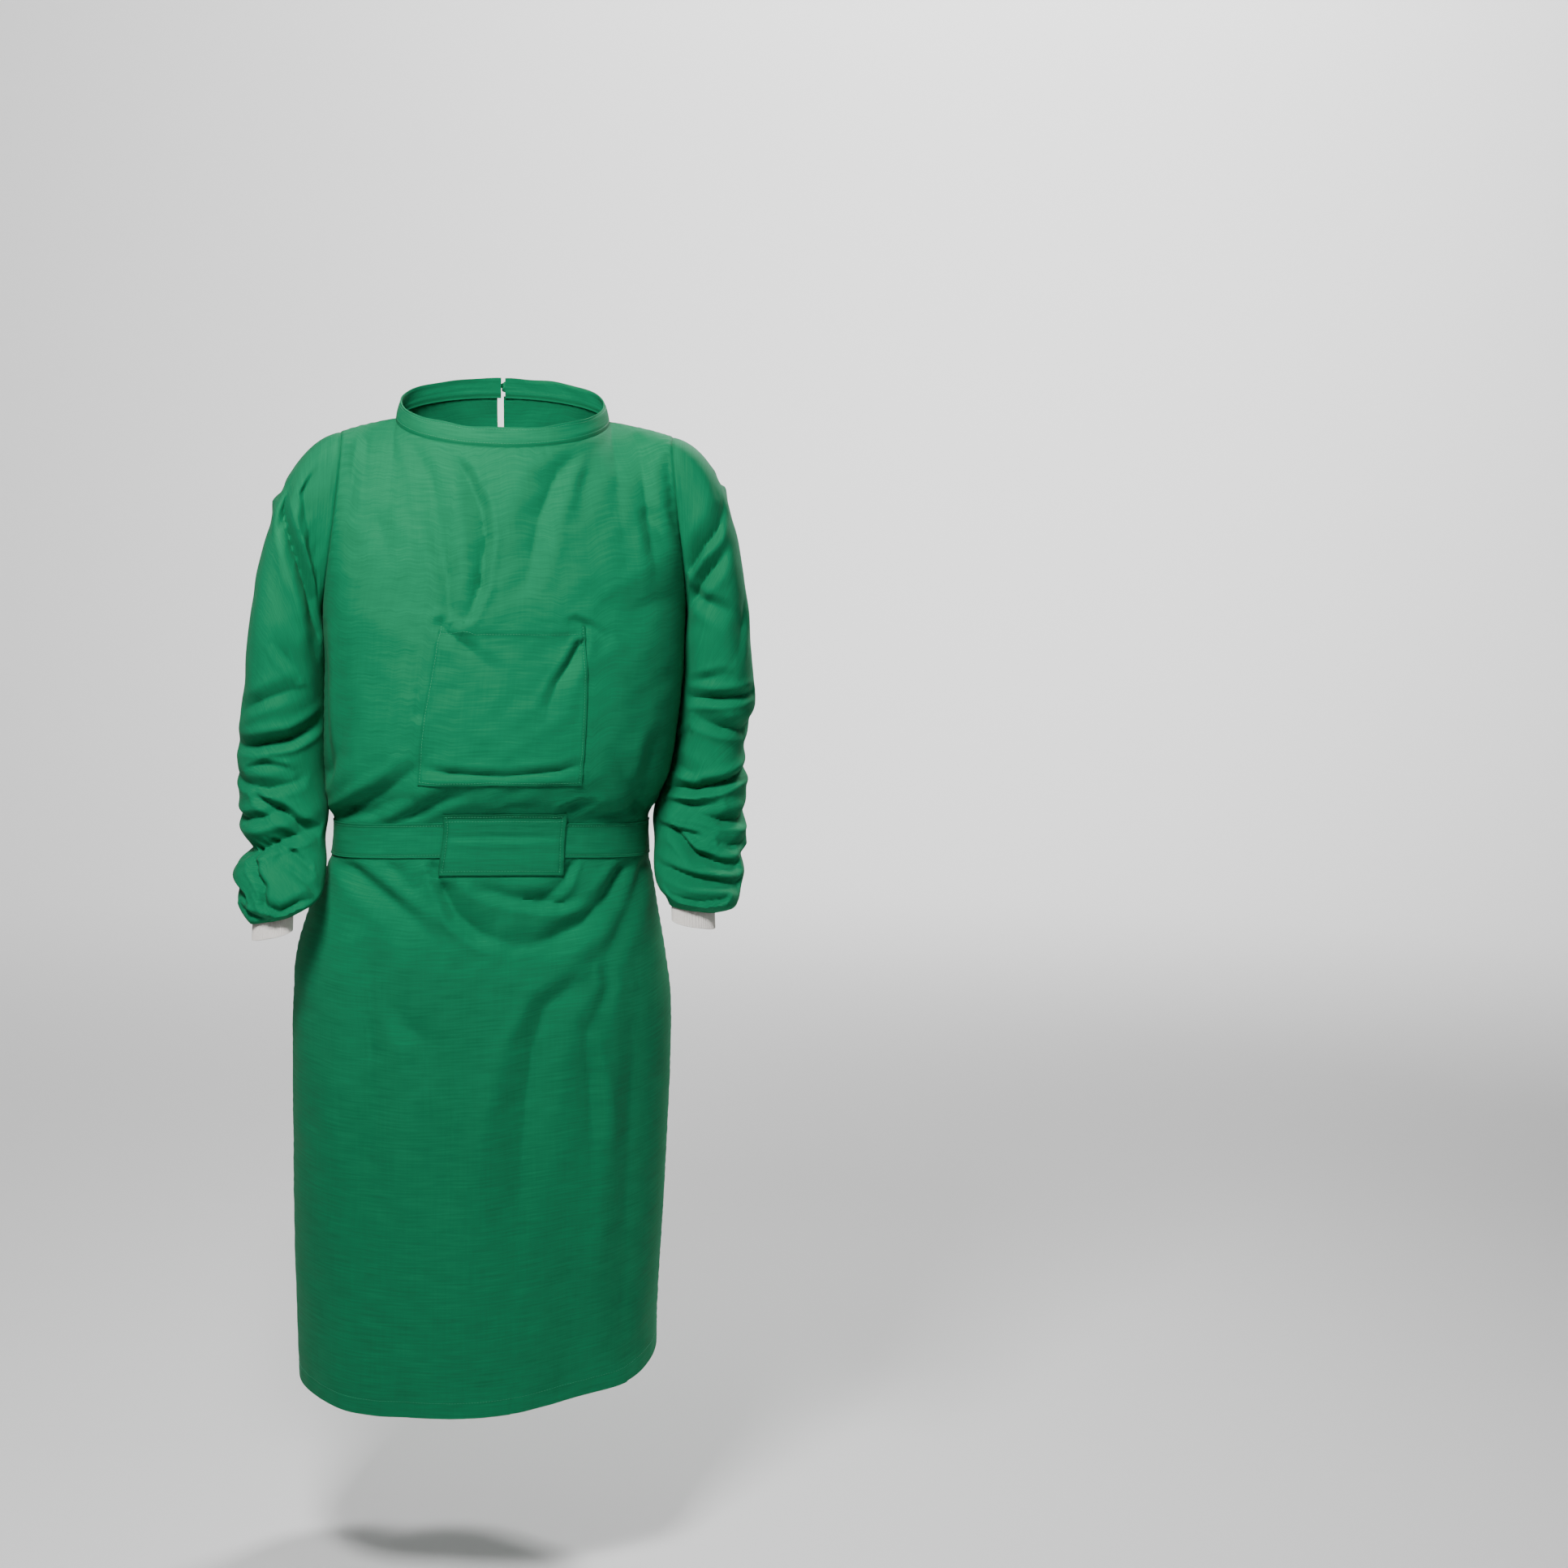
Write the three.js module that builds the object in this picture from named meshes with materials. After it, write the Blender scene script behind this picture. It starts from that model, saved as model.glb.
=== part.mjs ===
import * as THREE from 'three';

// A long-sleeved surgical gown as it hangs when worn: hollow, open all down the back, tied at the
// neck, between the shoulder blades and at the waist. Sizes are millimetres. The front faces -Y,
// +Z is up, and the wearer's right arm is on -X. The origin is on the shoulders, inside the neck.

// Thicknesses and sewing clearances
const CLOTH = 1.6;
const DOUBLE_CLOTH = 2;
const TAPE = 1.5;
const KNIT = 2.4;
const SEAM_GAP = 0.3;
const LAID_ON = 0.5;

// Heights that several pieces share
const HEM = -1187;
const HIP = -640;
const BELT_LOW = -521;
const BELT_HIGH = -480;
const UNDERARM = -234;
const SHOULDER = -15;

const SQUARENESS = 0.87; // 1 draws an ellipse, and less draws a squarer section
const WEARER_RIGHT = -1;
const WEARER_LEFT = 1;

const table = (columns, rows) =>
  rows.map((row) => Object.fromEntries(columns.split(' ').map((name, i) => [name, row[i]])));

// Sections of the body: where its sides stand, and how far it reaches to the front and the back.
const BODY = table('z right left front back', [
  [-1187, -252, 192, 162, 165],
  [-1070, -255, 195, 158, 160],
  [-975, -257, 200, 155, 156],
  [-880, -257, 204, 152, 152],
  [-790, -257, 207, 149, 149],
  [-700, -255, 207, 145, 145],
  [-640, -250, 199, 141, 138],
  [-575, -230, 188, 135, 121],
  [-525, -208, 179, 127, 104],
  [-500, -204, 177, 125, 101],
  [-478, -204, 178, 127, 102],
  [-452, -212, 190, 140, 114],
  [-420, -217, 203, 148, 122],
  [-370, -217, 212, 148, 121],
  [-300, -216, 219, 144, 119],
  [-234, -216, 222, 140, 117],
]);

// Where the free edge of each back panel runs, as a place across the back.
const OPENING = table('z left right', [
  [-1187, -92, -49],
  [-880, -64, -36],
  [-780, -44, -29],
  [-690, -19, -24],
  [-600, -3, -19],
  [-540, 1, -12],
  [-480, 2, -6],
  [-245, 2, -4],
  [-15, 4, -5],
]);

// Sleeve sections, from below the underarm to the wrist. Outer and inner are distances from the
// middle of the body, y is the middle of the arm, and rise is how much the inner side is higher.
const SLEEVE_COLUMNS = 'z outer inner y deep rise';
const RIGHT_SLEEVE = table(SLEEVE_COLUMNS, [
  [-300, 309, 219, 5, 66, 0],
  [-335, 312, 220, 8, 66, 0],
  [-365, 317, 220, 10, 65, 0],
  [-394, 318, 220, 10, 64, 0],
  [-423, 320, 220, 6, 63, 0],
  [-453, 317, 217, -1, 62, 0],
  [-483, 315, 213, -14, 60, 2],
  [-509, 303, 213, -33, 55, 5],
  [-534, 318, 210, -56, 56, 9],
  [-558, 311, 211, -80, 52, 12],
  [-574, 307, 214, -95, 46, 15],
  [-586, 299, 225, -103, 38, 16],
  [-590, 296, 243, -105, 26, 10],
]);
const LEFT_SLEEVE = table(SLEEVE_COLUMNS, [
  [-300, 306, 222, 5, 66, 0],
  [-332, 309, 220, 8, 66, 0],
  [-362, 303, 217, 10, 65, 0],
  [-392, 296, 213, 10, 64, 0],
  [-423, 300, 206, 6, 64, 0],
  [-453, 298, 195, -1, 63, 0],
  [-484, 297, 185, -14, 61, 2],
  [-510, 295, 184, -32, 57, 4],
  [-538, 291, 182, -55, 56, 8],
  [-557, 286, 183, -76, 52, 11],
  [-568, 282, 187, -90, 46, 13],
  [-577, 274, 194, -97, 39, 14],
  [-581, 256, 198, -99, 27, 9],
]);
const CUFF = { inside: 20, outside: 18, forward: 10, clear: 1.1 };

// The seam between the neckband and the body, a tilted oval, and the band that stands on it.
const NECK = { half: 128, y: 6, z: 3, front: 104, back: 66, dip: 33, rise: 30 };
const BAND_HIGH = 21;
const BAND_LEAN = 5;
const BAND_GAP = 5;
const NECK_SHARE = 0.404; // share of a panel's top edge that is neckline
const TIP = { right: -194, left: 206, y: 6 };

// Folds. Each runs from one place to another across the panel, seen from its own side, bows
// sideways by bow, and sinks by depth, or stands out where depth is below zero.
const FOLD_COLUMNS = 'x1 z1 x2 z2 bow depth width';
const FRONT_FOLDS = table(FOLD_COLUMNS, [
  [-72, -45, -62, -215, -22, 6, 15],
  [66, -40, 28, -165, 6, 5, 18],
  [-104, -35, -74, -215, 4, 4, 14],
  [156, -28, 184, -165, -5, 8, 13],
  [-170, -35, -196, -170, 4, 6, 15],
  [-66, -240, -30, -290, 6, 6, 12],
  [88, -246, 56, -312, 0, 8, 11],
  [-196, -452, -116, -388, -8, 12, 18],
  [176, -440, 130, -400, 8, 9, 17],
  [-104, -452, -58, -436, 0, 7, 12],
  [98, -452, 130, -440, 0, 7, 12],
  [-40, -424, 80, -412, 0, 4, 9],
  [-78, -530, -16, -600, 18, 8, 15],
  [70, -528, -4, -566, -12, 6, 12],
  [122, -532, 44, -612, -10, 8, 20],
  [-150, -534, -100, -600, 6, 5, 18],
  [-150, -660, -176, -1080, 8, 7, 26],
  [16, -690, 22, -1010, -6, 7, 30],
  [110, -660, 118, -1000, 6, 6, 22],
  [-112, -700, -118, -980, 0, -6, 30],
  [74, -690, 78, -960, 0, -5, 26],
]);
const BACK_FOLDS = table(FOLD_COLUMNS, [
  [-190, -60, -186, -330, -6, 8, 15],
  [192, -60, 190, -420, 6, 8, 15],
  [132, -170, 124, -330, 5, 5, 24],
  [-60, -150, -150, -90, 6, 4, 18],
  [172, -440, 70, -500, -8, 10, 16],
  [116, -395, 62, -494, 6, 7, 14],
  [-40, -330, -168, -412, 10, 9, 18],
  [-186, -440, -70, -492, 8, 10, 15],
  [-118, -420, -176, -436, 4, 7, 12],
  [30, -580, 28, -800, 4, 9, 14],
  [124, -640, 132, -1060, 6, 8, 30],
  [-96, -620, -104, -1040, -6, 8, 28],
  [-62, -560, -110, -700, 0, 6, 16],
  [-150, -700, -156, -1120, 0, -6, 34],
  [70, -700, 76, -1100, 0, -5, 30],
]);

// Creases round a sleeve: turn is the side it is deepest on (0 outside, 90 front, 180 inside,
// 270 back), reach how many degrees it covers, and slant how it climbs over them.
const CREASE_COLUMNS = 'z turn reach slant depth width';
const RIGHT_CREASES = table(CREASE_COLUMNS, [
  [-150, 70, 60, 70, 8, 15],
  [-345, 100, 80, 8, 5, 9],
  [-384, 95, 85, -10, 8, 10],
  [-420, 120, 70, 14, 5, 8],
  [-478, 60, 70, 8, 7, 9],
  [-503, 120, 70, -14, 8, 9],
  [-520, 60, 90, 18, 10, 9],
  [-574, 110, 60, 8, 6, 8],
  [-330, 250, 70, 16, 7, 12],
  [-392, 260, 80, -18, 8, 12],
  [-455, 270, 80, 16, 8, 11],
  [-515, 280, 80, -12, 8, 10],
  [-180, 285, 60, -60, 7, 15],
]);
const LEFT_CREASES = table(CREASE_COLUMNS, [
  [-140, 65, 60, 66, 8, 14],
  [-200, 110, 60, -40, 5, 12],
  [-318, 110, 70, 10, 5, 10],
  [-372, 100, 90, 14, 6, 10],
  [-424, 80, 100, -20, 9, 9],
  [-452, 120, 70, 6, 8, 9],
  [-480, 130, 60, 4, 8, 9],
  [-545, 110, 60, -10, 7, 9],
  [-340, 265, 80, 20, 8, 12],
  [-398, 255, 80, -16, 8, 12],
  [-462, 275, 80, 14, 8, 11],
  [-520, 265, 80, -12, 8, 10],
  [-175, 290, 60, -60, 7, 15],
]);

const GREEN = 0x1f8359;
const OFF_WHITE = 0xcfcac8;

const radians = THREE.MathUtils.degToRad;
const lerp = THREE.MathUtils.lerp;
const ease = THREE.MathUtils.smoothstep;
const bell = (distance, width) => Math.exp(-((distance / width) ** 2));
const squared = (part) => Math.sign(part) * Math.abs(part) ** SQUARENESS;
const vector = (x, y, z) => new THREE.Vector3(x, y, z);

// A smooth curve through one column of a table, read at any value of the first column.
function profile(rows, column) {
  const points = rows.map((row) => [Object.values(row)[0], row[column]]).sort((a, b) => a[0] - b[0]);
  const slope = (i) => {
    const [before, after] = [points[Math.max(i - 1, 0)], points[Math.min(i + 1, points.length - 1)]];
    return (after[1] - before[1]) / (after[0] - before[0]);
  };
  return (z) => {
    const at = THREE.MathUtils.clamp(z, points[0][0], points.at(-1)[0]);
    const i = Math.max(points.findIndex((point) => point[0] >= at) - 1, 0);
    const [low, high] = [points[i], points[i + 1]];
    const span = high[0] - low[0];
    return hermite((at - low[0]) / span, low[1], slope(i) * span, high[1], slope(i + 1) * span);
  };
}

function hermite(t, start, startSlope, end, endSlope) {
  const [t2, t3] = [t * t, t * t * t];
  return (2 * t3 - 3 * t2 + 1) * start + (t3 - 2 * t2 + t) * startSlope
    + (3 * t2 - 2 * t3) * end + (t3 - t2) * endSlope;
}

const hermiteVector = (t, start, startSlope, end, endSlope) =>
  vector(...['x', 'y', 'z'].map((k) => hermite(t, start[k], startSlope[k], end[k], endSlope[k])));

// Even steps from one value to another, both ends in.
const steps = (from, to, count) => Array.from({ length: count + 1 }, (_, i) => lerp(from, to, i / count));

const bodyRight = profile(BODY, 'right');
const bodyLeft = profile(BODY, 'left');
const bodyFront = profile(BODY, 'front');
const bodyBack = profile(BODY, 'back');
const leftPanelEdge = profile(OPENING, 'left');
const rightPanelEdge = profile(OPENING, 'right');

// The belt sits a little higher in front and is dragged down by its knot behind.
const WAIST = { z: -500, reach: 105, frontRise: 11, backDrop: 28 };

function beltDip(degrees, level) {
  const cosine = Math.cos(radians(degrees));
  const dip = cosine > 0 ? WAIST.frontRise * cosine ** 2 : -WAIST.backDrop * Math.abs(cosine) ** 1.3;
  return dip * bell(level - WAIST.z, WAIST.reach);
}

// The skirt falls in broad waves that grow towards the hem.
const WAVES = { high: 5.5, count: 7, shift: 40 };
const skirtWave = (degrees, level) =>
  WAVES.high * ease(-level, 620, 1150) * Math.sin(radians(WAVES.count * degrees + WAVES.shift));

// A point of the body section at one height: 0 degrees is the front, 90 the wearer's left.
function bodyRing(degrees, level) {
  const [sine, cosine] = [Math.sin(radians(degrees)), Math.cos(radians(degrees))];
  const [right, left] = [bodyRight(level), bodyLeft(level)];
  const wave = skirtWave(degrees, level) * (1 - sine ** 8);
  const deep = (cosine > 0 ? bodyFront(level) : bodyBack(level)) + wave;
  return vector(
    (left + right) / 2 + ((left - right) / 2) * squared(sine),
    -deep * squared(cosine),
    level + beltDip(degrees, level),
  );
}

// The neck seam: 0 degrees is the front.
function neckSeam(degrees) {
  const [sine, cosine] = [Math.sin(radians(degrees)), Math.cos(radians(degrees))];
  const [deep, drop] = cosine > 0 ? [NECK.front, NECK.dip] : [NECK.back, NECK.rise];
  return vector(NECK.half * sine, NECK.y - deep * cosine, NECK.z - drop * cosine);
}

// The top edge of a front or back panel: neckline in the middle, shoulder seams outside it.
// Across runs from -1 at the wearer's right armhole to 1 at the left one.
function topEdge(across, facing) {
  const share = Math.abs(across);
  const side = Math.sign(across);
  if (share <= NECK_SHARE) {
    const degrees = (90 * across) / NECK_SHARE;
    return neckSeam(facing > 0 ? degrees : 180 - degrees);
  }
  const out = (share - NECK_SHARE) / (1 - NECK_SHARE);
  const tip = side > 0 ? TIP.left : -TIP.right;
  return vector(side * lerp(NECK.half, tip, out ** 0.95), NECK.y, lerp(NECK.z, SHOULDER, out ** 1.3));
}

// How the cloth leans and how strongly it swells where it meets the top edge.
const TOP_LEAN = { neck: 68, corner: 24, tip: 0 };
const SWELL = { neck: 225, corner: 285, tip: 430 };

function topSlope(across, facing) {
  const share = Math.abs(across);
  const inNeck = Math.min(share / NECK_SHARE, 1) ** 2;
  const out = Math.max((share - NECK_SHARE) / (1 - NECK_SHARE), 0);
  const lean = radians(lerp(lerp(TOP_LEAN.neck, TOP_LEAN.corner, inNeck), TOP_LEAN.tip, ease(out, 0, 0.7)));
  const swell = lerp(lerp(SWELL.neck, SWELL.corner, inNeck), SWELL.tip, out ** 2);
  return vector(0, facing * Math.cos(lean) * swell, Math.sin(lean) * swell);
}

// A smooth panel, front (facing 1) or back (facing -1). Below the underarm it follows the body
// sections, and above it each line of cloth sweeps up to the neckline or over to the shoulder.
function smoothPanel(across, level, facing) {
  const degrees = facing > 0 ? 90 * across : 180 - 90 * across;
  if (level <= UNDERARM) return bodyRing(degrees, level);
  const start = bodyRing(degrees, UNDERARM);
  const below = bodyRing(degrees, UNDERARM - 1);
  const top = topSlope(across, facing);
  const rise = start.clone().sub(below).multiplyScalar(top.length());
  const share = (level - UNDERARM) / (SHOULDER - UNDERARM);
  return hermiteVector(share, start, rise, topEdge(across, facing), top);
}

// The armhole is cut out of the side of each panel: how far across the panel still reaches.
const ARMHOLE_CUT = 0.17;
function armholeAcross(level) {
  const share = THREE.MathUtils.clamp((level - UNDERARM) / (SHOULDER - UNDERARM), 0, 1);
  return 1 - ARMHOLE_CUT * Math.sin(Math.PI * share ** 0.6);
}

// How deep the folds of a table are at one place.
function foldDepth(folds, x, z) {
  return folds.reduce((sum, fold) => {
    const [dx, dz] = [fold.x2 - fold.x1, fold.z2 - fold.z1];
    const length = Math.hypot(dx, dz);
    const along = ((x - fold.x1) * dx + (z - fold.z1) * dz) / length ** 2;
    const inside = THREE.MathUtils.clamp(along, 0, 1);
    const aside = ((x - fold.x1) * dz - (z - fold.z1) * dx) / length - fold.bow * 4 * inside * (1 - inside);
    const past = (along - inside) * length;
    const fade = 0.35 + 0.65 * Math.sin(Math.PI * inside);
    return sum + fold.depth * fade * bell(aside, fold.width) * bell(past, fold.width);
  }, 0);
}

// The outward direction of a surface given as a function of two numbers, each kept in its range.
const STEP = 1e-3;
function outward(surface, u, v, sign, uEnd = Infinity, vEnd = Infinity) {
  const [u1, u2] = [u - STEP, Math.min(u + STEP, uEnd)];
  const [v1, v2] = [v - STEP * 10, Math.min(v + STEP * 10, vEnd)];
  const across = surface(u2, v).sub(surface(u1, v));
  const up = surface(u, v2).sub(surface(u, v1));
  return across.cross(up).normalize().multiplyScalar(sign);
}

// A panel with its folds pressed in. They die away at the seams, so that neighbours meet.
function foldedPanel(folds, facing) {
  const smooth = (across, level) => smoothPanel(across, level, facing);
  return (across, level) => {
    const point = smooth(across, level);
    const belt = ease(level, BELT_LOW - 14, BELT_LOW) * (1 - ease(level, BELT_HIGH, BELT_HIGH + 14));
    const fade = (1 - Math.abs(across) ** 10) * (1 - ease(level, SHOULDER - 60, SHOULDER)) * (1 - belt);
    const depth = foldDepth(folds, point.x, point.z) * fade;
    if (Math.abs(depth) < 1e-6) return point;
    return point.addScaledVector(outward(smooth, across, level, facing, 1, SHOULDER), -depth);
  };
}

const frontSurface = foldedPanel(FRONT_FOLDS, 1);
const backSurface = foldedPanel(BACK_FOLDS, -1);

// Where across a panel a place lies that is given by its distance from the middle.
function acrossAt(x, level) {
  const z = Math.min(level, UNDERARM);
  const [right, left] = [bodyRight(z), bodyLeft(z)];
  const part = THREE.MathUtils.clamp((2 * x - left - right) / (left - right), -1, 1);
  return (Math.sign(part) * Math.asin(Math.abs(part) ** (1 / SQUARENESS)) * 2) / Math.PI;
}

// A grid of surface points, with the way the cloth faces at each one. Sign turns that way round,
// and closed joins the last column to the first.
function makeGrid(surface, columns, rows, { sign = 1, closed = false } = {}) {
  const points = columns.map((u) => rows.map((v) => surface(u, v)));
  const count = columns.length;
  const line = (i) => points[closed ? (i + count) % count : THREE.MathUtils.clamp(i, 0, count - 1)];
  const normals = points.map((column, i) => column.map((_, j) => {
    const across = line(i + 1)[j].clone().sub(line(i - 1)[j]);
    const up = column[Math.min(j + 1, rows.length - 1)].clone().sub(column[Math.max(j - 1, 0)]);
    return across.cross(up).normalize().multiplyScalar(sign);
  }));
  return { points, normals, sign, closed };
}

// The part of a grid between two columns and two rows, all four kept.
const cutOut = (grid, firstColumn, lastColumn, firstRow, lastRow) => ({
  ...grid,
  closed: false,
  points: grid.points.slice(firstColumn, lastColumn + 1).map((line) => line.slice(firstRow, lastRow + 1)),
  normals: grid.normals.slice(firstColumn, lastColumn + 1).map((line) => line.slice(firstRow, lastRow + 1)),
});

// Draws the outermost points of a grid back towards their neighbours, for the gap at a seam.
function trimmed(grid, trim) {
  const points = grid.points.map((line) => line.map((p) => p.clone()));
  const pull = (from, to) => from.lerp(to, trim / from.distanceTo(to));
  points.forEach((line) => {
    pull(line[0], line[1]);
    pull(line.at(-1), line.at(-2));
  });
  if (!grid.closed) {
    points[0].forEach((p, j) => pull(p, points[1][j]));
    points.at(-1).forEach((p, j) => pull(p, points.at(-2)[j]));
  }
  return { ...grid, points };
}

// Cloth between two heights above a grid: its two skins and the edges that join them. A height
// is a number, or a function of the column and row.
function cloth(grid, lowHeight, highHeight) {
  const { points, normals, sign, closed } = grid;
  const [wide, high] = [points.length, points[0].length];
  const at = (height, i, j) => (typeof height === 'function' ? height(i, j) : height);
  const skin = (height) => points.flatMap((line, i) =>
    line.map((p, j) => p.clone().addScaledVector(normals[i][j], at(height, i, j))));
  const position = [...skin(highHeight), ...skin(lowHeight)].flatMap((p) => [p.x, p.y, p.z]);
  const index = [];
  const outer = (i, j) => (i % wide) * high + j;
  const inner = (i, j) => outer(i, j) + wide * high;
  const face = (a, b, c, d) => index.push(...(sign > 0 ? [a, b, c, a, c, d] : [a, c, b, a, d, c]));
  const last = closed ? wide : wide - 1;
  for (let i = 0; i < last; i++) {
    for (let j = 0; j < high - 1; j++) {
      face(outer(i, j), outer(i + 1, j), outer(i + 1, j + 1), outer(i, j + 1));
      face(inner(i, j), inner(i, j + 1), inner(i + 1, j + 1), inner(i + 1, j));
    }
    face(inner(i, 0), inner(i + 1, 0), outer(i + 1, 0), outer(i, 0));
    face(outer(i, high - 1), outer(i + 1, high - 1), inner(i + 1, high - 1), inner(i, high - 1));
  }
  if (!closed) {
    for (let j = 0; j < high - 1; j++) {
      face(inner(0, j), outer(0, j), outer(0, j + 1), inner(0, j + 1));
      face(outer(last, j), inner(last, j), inner(last, j + 1), outer(last, j + 1));
    }
  }
  const geometry = new THREE.BufferGeometry();
  geometry.setAttribute('position', new THREE.Float32BufferAttribute(position, 3));
  geometry.setIndex(index);
  geometry.computeVertexNormals();
  return geometry;
}

const fabric = new THREE.MeshStandardMaterial({ color: GREEN, roughness: 0.9, metalness: 0 });
const knit = new THREE.MeshStandardMaterial({ color: OFF_WHITE, roughness: 0.95, metalness: 0 });

const gown = new THREE.Group();
gown.name = 'surgical_gown';

function addPiece(name, geometry, material = fabric) {
  const mesh = new THREE.Mesh(geometry, material);
  mesh.name = name;
  gown.add(mesh);
}

// Rows of the body panels, from the hem up: first shares of the skirt, then heights.
const POCKET_LOW = -429;
const PATCH_LOW = -541;
const PATCH_HIGH = -468;
const joined = (...stretches) => stretches.flatMap((s, i) => (i < stretches.length - 1 ? s.slice(0, -1) : s));
const panelRows = [
  ...steps(0, 1, 9).slice(0, -1),
  ...joined(
    steps(HIP, PATCH_LOW, 4),
    [PATCH_LOW, BELT_LOW],
    steps(BELT_LOW, BELT_HIGH, 2),
    [BELT_HIGH, PATCH_HIGH],
    steps(PATCH_HIGH, POCKET_LOW, 2),
    steps(POCKET_LOW, UNDERARM, 9),
    steps(UNDERARM, SHOULDER, 9),
  ),
];
const rowOf = (level) => panelRows.indexOf(level);

// How much the hem rises above its lowest line. The free corner of the back panel that laps over
// the other hangs lower.
const HEM_LINE = table('across front', [
  [-1, 13],
  [-0.7, 10],
  [-0.4, 3],
  [-0.1, 2],
  [0.1, 9],
  [0.3, 17],
  [0.6, 25],
  [1, 44],
]);
const frontRise = profile(HEM_LINE, 'front');
const CORNER_DROP = 30;
function hemHeight(across, facing, laps) {
  if (facing > 0) return HEM + frontRise(across);
  const corner = laps ? CORNER_DROP * (1 - ease(Math.abs(across), 0.1, 0.75)) : 0;
  return HEM + frontRise(Math.sign(across)) * Math.abs(across) ** 2 - corner;
}

// The body sections stop at the hem's usual height, and cloth that hangs lower drops straight.
function withHem(surface, facing, laps = false) {
  return (across, row) => {
    if (row < 0) return surface(across, row);
    const wanted = lerp(hemHeight(across, facing, laps), HIP, row);
    const point = surface(across, Math.max(wanted, HEM));
    point.z = Math.min(point.z, wanted);
    return point;
  };
}

const levelOf = (row) => (row < 0 ? row : lerp(HEM, HIP, row));

// Columns of the front follow the sides of the pocket and of the patch below it, so that both
// can be made from the same points.
const POCKET_SIDES = table('z left right', [
  [-1187, -70, 66],
  [-640, -74, 68],
  [-541, -75, 70],
  [-468, -71, 75],
  [-429, -99, 91],
  [-234, -74, 94],
  [-15, -40, 52],
]);
const pocketLeft = profile(POCKET_SIDES, 'left');
const pocketRight = profile(POCKET_SIDES, 'right');
const [SIDE_COLUMNS, NECK_COLUMNS, POCKET_COLUMNS] = [6, 3, 10];
const frontColumns = steps(0, 2 * (SIDE_COLUMNS + NECK_COLUMNS) + POCKET_COLUMNS, 28);
const pocketStart = SIDE_COLUMNS + NECK_COLUMNS;
const pocketEnd = pocketStart + POCKET_COLUMNS;

function frontAcross(column, row) {
  const level = levelOf(row);
  const marks = [
    [0, -armholeAcross(level)],
    [SIDE_COLUMNS, -NECK_SHARE],
    [pocketStart, acrossAt(pocketLeft(level), level)],
    [pocketEnd, acrossAt(pocketRight(level), level)],
    [pocketEnd + NECK_COLUMNS, NECK_SHARE],
    [frontColumns.length - 1, armholeAcross(level)],
  ];
  const i = Math.min(marks.findLastIndex((mark) => mark[0] <= column), marks.length - 2);
  return lerp(marks[i][1], marks[i + 1][1], (column - marks[i][0]) / (marks[i + 1][0] - marks[i][0]));
}

// At side and shoulder seams the two panels share one mitred edge.
function mitre(grid, acrossOf) {
  grid.normals.forEach((line, i) => line.forEach((normal, j) => {
    const share = Math.abs(acrossOf(i, panelRows[j]));
    const side = share > 0.999999 && levelOf(panelRows[j]) <= UNDERARM;
    const shoulder = panelRows[j] === SHOULDER && share >= NECK_SHARE - 1e-6;
    if (side || shoulder) normal.setY(0).normalize();
    if (side) normal.setZ(0).normalize();
  }));
  return grid;
}

const hemmedFront = withHem(frontSurface, 1);
const frontGrid = mitre(
  makeGrid((column, row) => hemmedFront(frontAcross(column, row), row), frontColumns, panelRows),
  (i, row) => frontAcross(i, row),
);
addPiece('front', cloth(trimmed(frontGrid, SEAM_GAP / 2), -CLOTH, 0));

// A back panel runs from its side seam to its free edge. The right one laps over the left one
// below the waist, so one is lifted off the body there and the other is tucked in.
const LAP = { top: -590, full: -740, reach: 0.5, lifted: 4, tucked: -5 };
const BACK_SIDE_COLUMNS = 6;
const backColumns = joined(steps(0, 0.6, BACK_SIDE_COLUMNS), steps(0.6, 1, 6));

function backGrid(side) {
  const edge = side === WEARER_LEFT ? leftPanelEdge : rightPanelEdge;
  const lift = side === WEARER_LEFT ? LAP.tucked : LAP.lifted;
  const hemmed = withHem(backSurface, -1, side === WEARER_RIGHT);
  const acrossOf = (column, row) => {
    const level = levelOf(row);
    const free = acrossAt(edge(level), level);
    const corner = side * NECK_SHARE;
    return column < 0.6 ? lerp(side * armholeAcross(level), corner, column / 0.6) : lerp(corner, free, (column - 0.6) / 0.4);
  };
  const surface = (column, row) => {
    const across = acrossOf(column, row);
    const point = hemmed(across, row);
    const level = levelOf(row);
    point.y += lift * ease(-level, -LAP.top, -LAP.full) * (1 - ease(side * across, 0, LAP.reach));
    return point;
  };
  return mitre(makeGrid(surface, backColumns, panelRows, { sign: side }), (i, row) => acrossOf(backColumns[i], row));
}

const rightBack = backGrid(WEARER_RIGHT);
const leftBack = backGrid(WEARER_LEFT);
addPiece('back_right', cloth(trimmed(rightBack, SEAM_GAP / 2), -CLOTH, 0));
addPiece('back_left', cloth(trimmed(leftBack, SEAM_GAP / 2), -CLOTH, 0));

// Chest pocket, belt and the patch that holds the belt in front, each laid on the points below it
const pocketGrid = cutOut(frontGrid, pocketStart, pocketEnd, rowOf(POCKET_LOW), rowOf(UNDERARM));
addPiece('chest_pocket', cloth(pocketGrid, LAID_ON, LAID_ON + DOUBLE_CLOTH));

const BELT_TOP = LAID_ON + DOUBLE_CLOTH;
const PATCH_OVER = BELT_TOP + LAID_ON;
const patchRows = [rowOf(PATCH_LOW), rowOf(PATCH_HIGH)];
const patchGrid = cutOut(frontGrid, pocketStart, pocketEnd, ...patchRows);
const patchHeight = (extra) => (i, j) =>
  (j === 0 || j === patchRows[1] - patchRows[0] ? LAID_ON : PATCH_OVER) + extra;
addPiece('belt_patch', cloth(patchGrid, patchHeight(0), patchHeight(DOUBLE_CLOTH)));

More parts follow.
